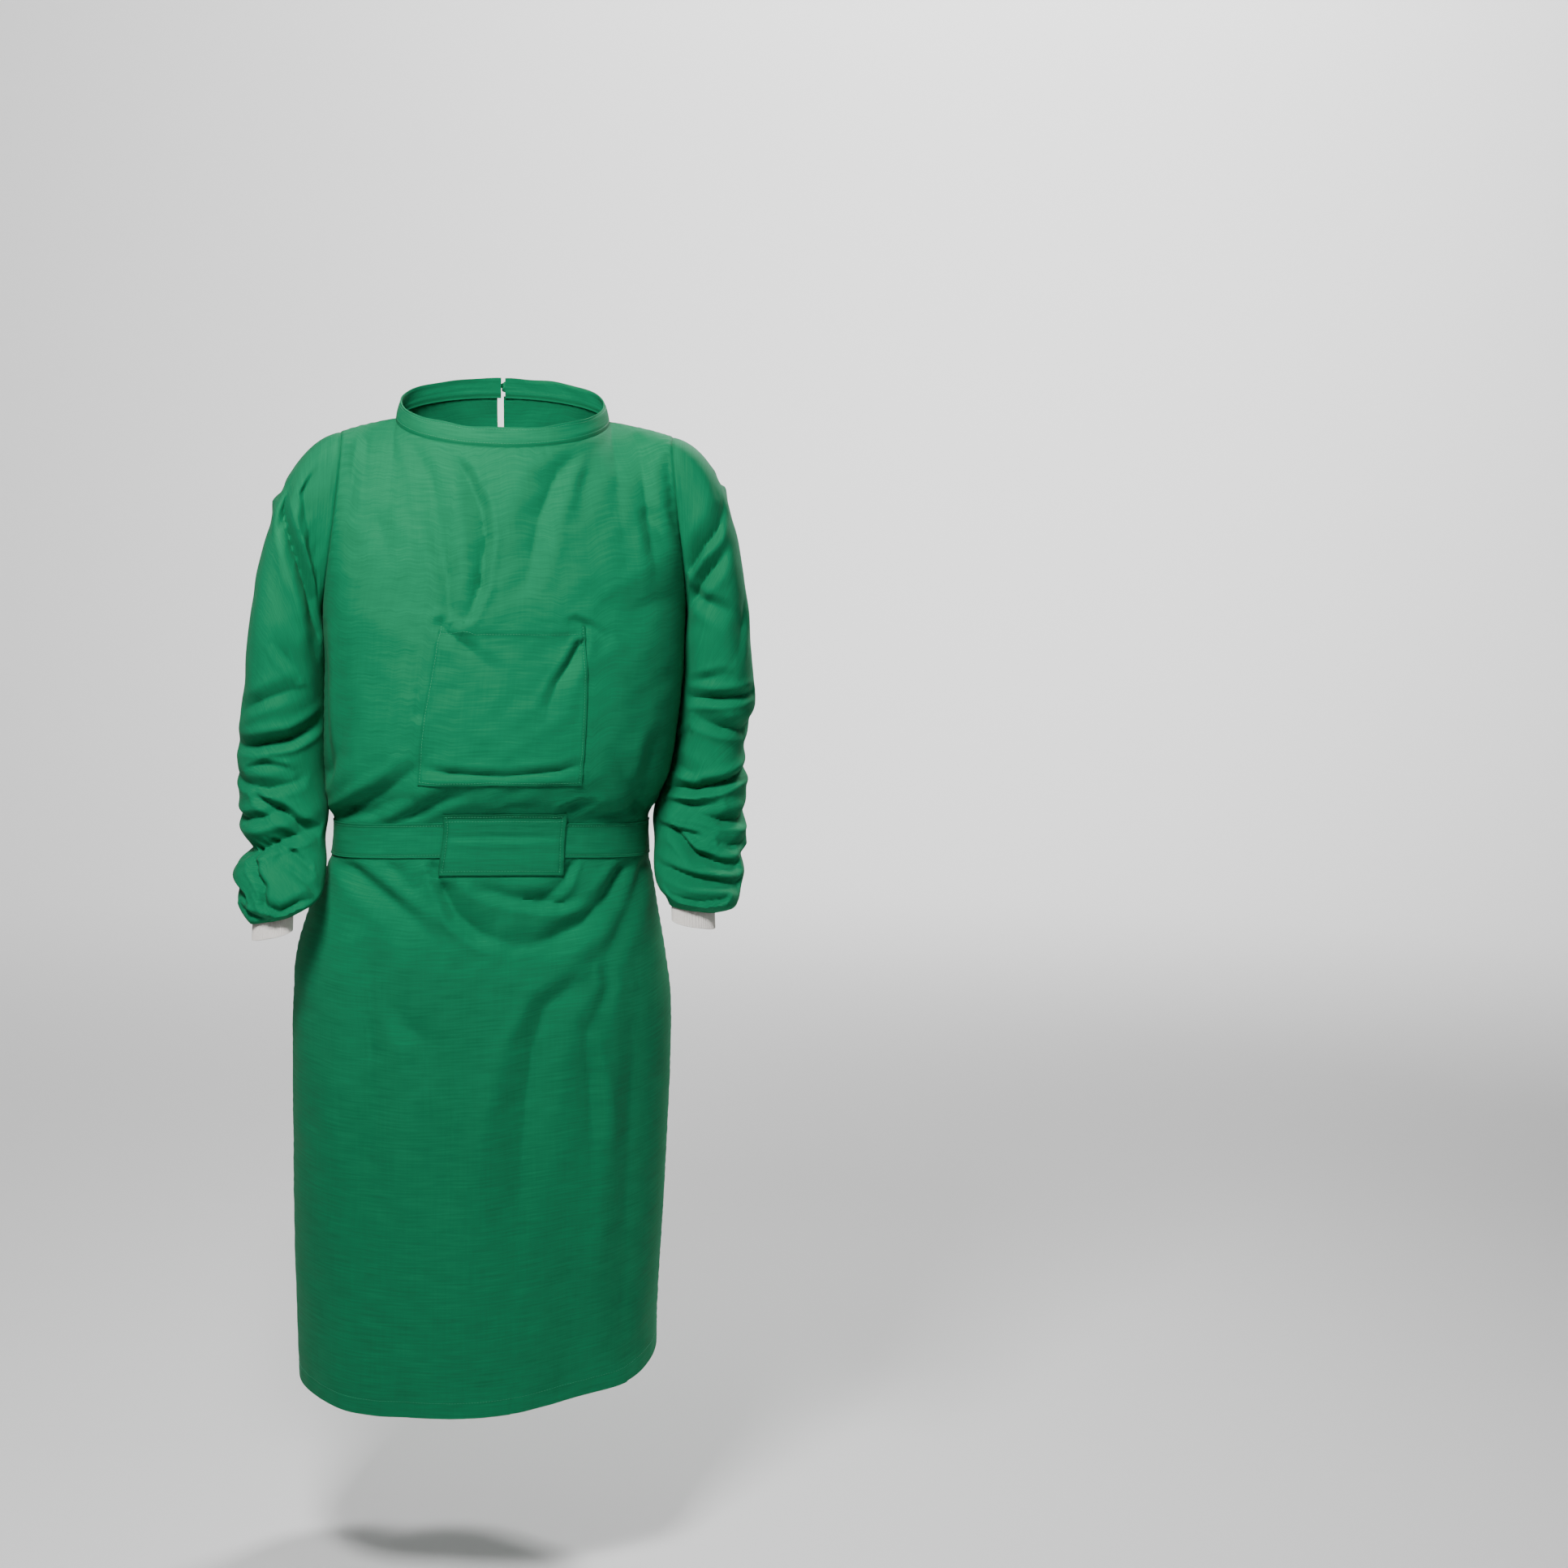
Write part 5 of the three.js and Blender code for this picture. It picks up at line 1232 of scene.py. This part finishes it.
# %% Rib-knit cuffs
CUFF_INSIDE, CUFF_OUTSIDE, CUFF_FORWARD, CUFF_CLEAR, KNIT = 20, 18, 10, 1.1, 1.6
RIBS, RIB_HIGH = 56, 0.35
SLEEVE_WALL = 1.6
for side, word in SIDES:
    ring = sleeve_ring(SLEEVES[side], side)
    turn = steps(0, 360, RIBS * 6)[:, None]
    along = lerp(CUFF_INSIDE, -CUFF_OUTSIDE, steps(0, 1, 14)[None, :])
    rib = RIB_HIGH * np.cos(np.radians(turn * RIBS))
    base = ring(turn, SLEEVES[side]["z"].min(), SLEEVE_WALL + CUFF_CLEAR + RIB_HIGH - rib)
    points = base + places(0, CUFF_FORWARD * along / CUFF_OUTSIDE, along)
    points[-1] = points[0]
    dress(f"cuff_{word}", points, KNIT, knit, "cuff_knit", "knit", sign=side, closed=True)

# %% [markdown]
# ## Ties and knots behind
# The ties are narrow strips of the same cloth. They leave their knots and hang over the back with free
# ends, so each follows a smooth line through a few places. A place is given as it is seen on the back,
# with its distance from the middle, its height, and how far it stands off the cloth.


# %% Lines on the back
BODY_ROUND = 260


def on_back(spots):
    """Places on the back panel, each given as x, z and a height above the cloth."""
    x, z, lift = np.array(spots, float).T
    across, level = across_at(x, z), np.minimum(z, NECK_Z)
    for _ in range(12):
        point = smooth_panel(across, level, -1)
        across = across + (x - point[..., 0]) / BODY_ROUND
        level = np.minimum(level + (z - point[..., 2]) * 0.7, SHOULDER)
    point = smooth_panel(across, level, -1)
    return places(x, point[..., 1] + lift, z)


def read_line(values, run, at):
    """Values along a line, read at other distances along it."""
    return np.stack([np.interp(at, run, values[:, k]) for k in range(3)], axis=1)


def smooth_line(knots, count):
    """An even row of points on a centripetal Catmull-Rom curve, and its length."""
    knots = np.concatenate([[2 * knots[0] - knots[1]], knots, [2 * knots[-1] - knots[-2]]])
    dense = []
    for before, start, end, after in zip(knots, knots[1:], knots[2:], knots[3:]):
        spans = ((before, start), (start, end), (end, after))
        d0, d1, d2 = [max(np.linalg.norm(b - a) ** 0.5, 1e-4) for a, b in spans]
        leave = ((start - before) / d0 - (end - before) / (d0 + d1) + (end - start) / d1) * d1
        arrive = ((end - start) / d1 - (after - start) / (d1 + d2) + (after - end) / d2) * d1
        dense.append(hermite(np.linspace(0, 1, 40)[:, None], start, leave, end, arrive))
    dense = np.concatenate(dense)
    run = run_along(dense, 0)
    return read_line(dense, run, np.linspace(0, run[-1], count)), run[-1]


TIE_CLOTH, TIE_STEP, TIE_UNEVEN = 1.2, 2.2, 0.35
TIE_STITCHED = 1.5
OUTWARD = np.array([0, 1, 0])


def tie_strip(node, spots, width, on_edge, seed):
    """A flat strip of cloth along a line. It lies on the back, or stands out from it on its edge."""
    seen_length = sum(np.hypot(*np.diff(np.array(spots)[:, :2], axis=0).T))
    line, length = smooth_line(on_back(spots), max(int(seen_length / TIE_STEP), 12))
    along = unit(np.gradient(line, axis=0))
    side = np.cross(OUTWARD, along)
    if on_edge:
        side = np.broadcast_to(np.array([0, 1, 0.15]), along.shape)
    side = unit(side)
    places_across = steps(-0.5, 0.5, max(int(width / 2), 6))
    grid = line[None] + side[None] * (places_across * width)[:, None, None]
    facing = unit(np.cross(side, along))[None]
    share = np.linspace(0, 1, len(line))[None, :]
    crown = 0.06 * width * np.cos(np.pi * places_across)[:, None] * np.ones_like(share)
    waves = rumple(places_across[:, None] * width * 2.5, share * length, seed, 14, 60, TIE_UNEVEN)
    grid = grid + facing * (crown + waves * np.sin(np.pi * np.clip(share * 1.05, 0, 1)))[..., None]
    edge = np.minimum(places_across + 0.5, 0.5 - places_across)[:, None] * width
    # Painted shade along the stitching near each edge, where the cloth puckers.
    dress(node, grid, TIE_CLOTH, tie_cotton, seam=0.6 * bell(edge - TIE_STITCHED, 1.2) + 0 * share)


LYING, ON_EDGE = False, True
FIRST_TIE_SEED = 60
STRIPS = {
    "belt_tail_wide": (41, LYING, [
        [-33, -511, 18], [-33, -514, 25], [-34, -530, 26.5], [-36, -548, 24], [-40, -585, 11],
        [-50, -650, 6], [-60, -702, 6],
    ]),
    "belt_tail_behind": (7, LYING, [
        [-38, -546, 6], [-44, -575, 4], [-54, -620, 2.3], [-66, -665, 2.3], [-90, -706, 4], [-115, -748, 5],
    ]),
    "belt_tail_side": (14, ON_EDGE, [[-48.5, -533, 14], [-78, -557, 13], [-108, -586, 12], [-141, -616, 12]]),
    "belt_tail_long": (12, LYING, [
        [-16, -541, 5.5], [-5, -560, 4], [9, -588, 4.5], [15, -620, 5], [14, -665, 6], [8, -720, 7],
        [4, -783, 8],
    ]),
    "belt_loop": (16, ON_EDGE, [
        [-16, -529, 15], [20, -544, 16.5], [44, -555, 16.5], [52, -563, 16.5], [44, -570, 16.5],
        [10, -557, 16.5], [-16, -538, 15],
    ]),
    "back_tie_left": (9, LYING, [[2.2, -271, 6.5], [18, -259, 4], [48, -266, 3], [75, -277, 3]]),
    "back_tie_short": (12, LYING, [[-11, -286, 6], [-20, -307, 4], [-33, -330, 3]]),
    "back_tie_long": (6, LYING, [[1, -290, 4], [4, -339, 3.6], [6, -405, 3.6], [15, -471, 4]]),
    "neck_tie_curved": (12, LYING, [
        [14, 38, 7.5], [29, 27, 7.5], [35, 2, 7], [30, -29, 6], [14, -63, 6], [-8, -101, 4], [-20, -114, 3],
    ]),
    "neck_tie_straight": (11, LYING, [
        [8, 32.5, 4], [13, 5, 2.5], [12, -25, 2.5], [11, -63, 2.5], [17, -130, 2.5], [25, -211, 2.5],
    ]),
}
for number, (node, (width, on_edge, spots)) in enumerate(STRIPS.items()):
    tie_strip(node, spots, width, on_edge, FIRST_TIE_SEED + number)

# %% [markdown]
# ## Knots
# An overhand knot is a strip that crosses over itself and is pulled tight. From outside only its turns
# show, as rounded and slightly wrinkled rolls. So a knot is built from three torus primitives that
# are squeezed, tilted against each other and joined.

# %% Knots
KNOT_TUBE, KNOT_HOLE, KNOT_FULL, KNOT_BROAD = 0.42, 0.66, 0.30, 0.46
KNOT_TURNS = ((-0.34, 24, 0.96), (0.3, -20, 1.0), (0.0, 4, 1.08))


def knot(node, centre, half, deep, high, tilt):
    """Three flattened rings laid over each other, as the turns of an overhand knot."""
    loops = []
    for shift, lean, size in KNOT_TURNS:
        deselect()
        bpy.ops.mesh.primitive_torus_add(
            major_segments=48, minor_segments=18, major_radius=1, minor_radius=KNOT_TUBE,
        )
        loop = bpy.context.object
        round_ring = np.zeros(len(loop.data.vertices) * 3)
        loop.data.vertices.foreach_get("co", round_ring)
        x, y, z = round_ring.reshape(-1, 3).T
        turn = np.arctan2(y, x)
        thick, broad = (np.hypot(x, y) - 1) / KNOT_TUBE, z / KNOT_TUBE
        wrinkle = 0.05 * np.sin(broad * 5 + 3 * np.sin(turn * 2 + lean))
        reach = KNOT_HOLE + (KNOT_FULL + wrinkle) * thick
        shaped = np.stack([
            broad * half * KNOT_BROAD + shift * half,
            np.cos(turn) * reach * deep * size,
            np.sin(turn) * reach * high * size,
        ], axis=1)
        spin = Matrix.Rotation(math.radians(tilt), 3, "Y") @ Matrix.Rotation(math.radians(lean), 3, "Y")
        shaped = shaped @ np.array(spin).T + centre
        loop.data.vertices.foreach_set("co", (shaped * MM).ravel())
        loop.data.update()
        loops.append(loop)
    deselect()
    for loop in loops:
        loop.select_set(True)
    bpy.context.view_layer.objects.active = loops[0]
    bpy.ops.object.join()
    piece = bpy.context.object
    piece.name = piece.data.name = f"{node}_cloth"
    piece.data.uv_layers[0].name = "cloth"
    edit_all(piece, lambda: bpy.ops.mesh.normals_make_consistent(inside=False))
    bpy.ops.object.shade_smooth_by_angle(angle=SMOOTH_ANGLE)
    settle(piece, tie_cotton, node)


belt_knot_centre = on_back([[KNOT_X, KNOT_Z, KNOT_DEEP + 4.5]])[0]
back_knot_centre = on_back([[-4, -278, 7]])[0]
neck_knot_centre = np.array([5, NECK_Y + NECK_BACK + 3.9, NECK_Z + NECK_RISE + 12])
knot("belt_knot", belt_knot_centre, KNOT_HALF, KNOT_DEEP, KNOT_HIGH, 8)
knot("back_tie_knot", back_knot_centre, 8, 5, 8, -50)
knot("neck_tie_knot", neck_knot_centre, 8, 6, 8, 35)

# %% [markdown]
# ## Stitches
# Every seam that lies on the cloth is sewn with a lockstitch. Each stitch shows as a short rounded dash
# of thread that sinks in at both ends. One sphere primitive of few faces is the pattern for them all.

# %% Sew along lines
STITCH_STEP, STITCH_LONG, STITCH_THICK, STITCH_LIFT = 3.4, 2.5, 0.55, 0.12
deselect()
bpy.ops.mesh.primitive_uv_sphere_add(segments=6, ring_count=4, radius=1)
pattern = bpy.context.object
pattern_points = np.array([vertex.co for vertex in pattern.data.vertices])
pattern_faces = [list(face.vertices) for face in pattern.data.polygons]
bpy.data.objects.remove(pattern)
stitch_points, stitch_faces = [], []


def inset_line(grid, axis, distance, from_end):
    """A line on a grid that stays at one distance from an edge, with the directions that face outwards."""
    points, outward = grid["points"], facing_of(grid["points"], grid["sign"])
    run = run_along(points, axis)
    run = np.take(run, [-1], axis=axis) - run if from_end else run
    if axis == 1:
        points, outward, run = points.swapaxes(0, 1), outward.swapaxes(0, 1), run.T
    if from_end:
        points, outward, run = points[::-1], outward[::-1], run[::-1]
    lines = []
    for part in (points, outward):
        lines.append([
            [np.interp(distance, run[:, j], part[:, j, k]) for k in range(3)] for j in range(run.shape[1])
        ])
    return np.array(lines[0]), unit(np.array(lines[1]))


def sew(grid, axis, distance, from_end=False, start=4, end=4):
    """Lays stitches on the cloth, along a line at one distance from an edge."""
    line, outward = inset_line(grid, axis, distance, from_end)
    run = run_along(line, 0)
    at = np.arange(start, run[-1] - end, STITCH_STEP)
    centre = read_line(line, run, at)
    up = unit(read_line(outward, run, at))
    ahead = read_line(line, run, at + 1) - centre
    ahead = unit(ahead - up * (ahead * up).sum(1)[:, None])
    side = np.cross(up, ahead)
    for place, forward_way, side_way, up_way in zip(centre, ahead, side, up):
        shape = (
            pattern_points[:, 2:3] * forward_way * STITCH_LONG / 2
            + pattern_points[:, 0:1] * side_way * STITCH_THICK / 2
            + pattern_points[:, 1:2] * up_way * STITCH_THICK / 2
        )
        first = len(stitch_points) * len(pattern_points)
        stitch_points.append(place + up_way * STITCH_LIFT + shape)
        stitch_faces.extend([[first + v for v in face] for face in pattern_faces])


SEWN_LINES = [
    (pocket_points, [(0, POCKET_STITCHED, False), (0, POCKET_STITCHED, True), (1, POCKET_STITCHED, False),
                     (1, POCKET_TOP_STITCHED, True)]),
    (patch_points, [(0, PATCH_STITCHED, False), (0, PATCH_STITCHED, True), (1, PATCH_STITCHED, False),
                    (1, 3, True), (1, 9, True)]),
    (belt_raised, [(1, 3, False), (1, 3, True)]),
    (band_points, [(1, 6.2, False), (1, 3, True)]),
]
for points, lines in SEWN_LINES:
    for axis, distance, from_end in lines:
        sew({"points": points, "sign": 1}, axis, distance, from_end)
sew(front, 1, HEM_TURNED, start=8, end=8)
for grid in backs.values():
    sew(grid, 1, HEM_TURNED, start=8, end=16)
    sew(grid, 0, BACK_EDGE_TURNED, from_end=True, start=22, end=8)
stitch_mesh = bpy.data.meshes.new("stitches")
stitch_mesh.from_pydata((np.concatenate(stitch_points) * MM).tolist(), [], stitch_faces)
stitches = bpy.data.objects.new("stitches", stitch_mesh)
bpy.context.collection.objects.link(stitches)
deselect()
stitches.select_set(True)
bpy.context.view_layer.objects.active = stitches
bpy.ops.object.shade_smooth()
stitch_mesh.materials.append(thread)
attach(stitches, "root")
print("stitches:", len(stitch_points), "with", len(stitch_faces), "faces")

# %% [markdown]
# ## Stage
# A pale floor that curves up into the wall all round gives the plain background of a product
# photograph from every side. It is painted with matt wall paint, which scatters light evenly, so no
# lamp is mirrored in it. A near lamp at the upper left lights the chest more than the hem, a second one
# behind draws the folds of the back, a weak one fills the shadows, and the last one lights the wall.

# %% Floor and lights
FLOOR_Z = -1.42
STAGE_RADIUS, STAGE_HIGH, STAGE_CURVE = 8.0, 6.0, 3.0
WORLD_STRENGTH = 0.09
deselect()
bpy.ops.mesh.primitive_circle_add(
    vertices=96, radius=STAGE_RADIUS, fill_type="NGON", location=(0, 0, FLOOR_Z),
)
stage = bpy.context.object
stage.name = "pale_floor"
bpy.ops.object.mode_set(mode="EDIT")
bpy.ops.mesh.select_mode(type="EDGE")
bpy.ops.mesh.select_all(action="SELECT")
bpy.ops.mesh.extrude_edges_move(TRANSFORM_OT_translate={"value": (0, 0, STAGE_HIGH)})
bpy.ops.object.mode_set(mode="OBJECT")
for edge in stage.data.edges:
    edge.select = all(abs(stage.data.vertices[v].co.z) < 0.001 for v in edge.vertices)
bpy.ops.object.mode_set(mode="EDIT")
bpy.ops.mesh.bevel(offset=STAGE_CURVE, segments=14)
bpy.ops.mesh.select_all(action="SELECT")
bpy.ops.mesh.normals_make_consistent(inside=True)
bpy.ops.object.mode_set(mode="OBJECT")
bpy.ops.object.shade_smooth_by_angle(angle=math.radians(80))
paint = new_material("pale_matt_paint", {"Base Color": linear("#EDEDED"), "Roughness": 0.95})[0]
stage.data.materials.append(paint)


def soft_light(name, place, aim, size, power):
    """A square area light that shines from a place towards a point, and that no camera sees."""
    deselect()
    bpy.ops.object.light_add(type="AREA", location=place)
    lamp = bpy.context.object
    lamp.name = name
    lamp.data.shape = "SQUARE"
    lamp.data.size = size
    lamp.data.energy = power
    lamp.visible_camera = False
    lamp.rotation_euler = (Vector(aim) - Vector(place)).to_track_quat("-Z", "Y").to_euler()


soft_light("key_light", (-0.38, -1.15, 0.86), (0, -0.1, 0.0), 0.45, 52)
soft_light("fill_light", (2.4, -2.6, 0.6), (0, 0, -0.4), 1.8, 2)
soft_light("back_light", (0.95, 1.05, 0.95), (0, 0.1, 0.0), 0.45, 52)
soft_light("wall_light", (1.6, 4.6, 3.2), (1.4, 8, 0.2), 3.0, 400)
world = bpy.data.worlds.new("studio_air")
world.use_nodes = True
air = world.node_tree.nodes["Background"].inputs
air["Color"].default_value = linear("#FFFFFF")
air["Strength"].default_value = WORLD_STRENGTH
bpy.context.scene.world = world
print("stage and lights ready")
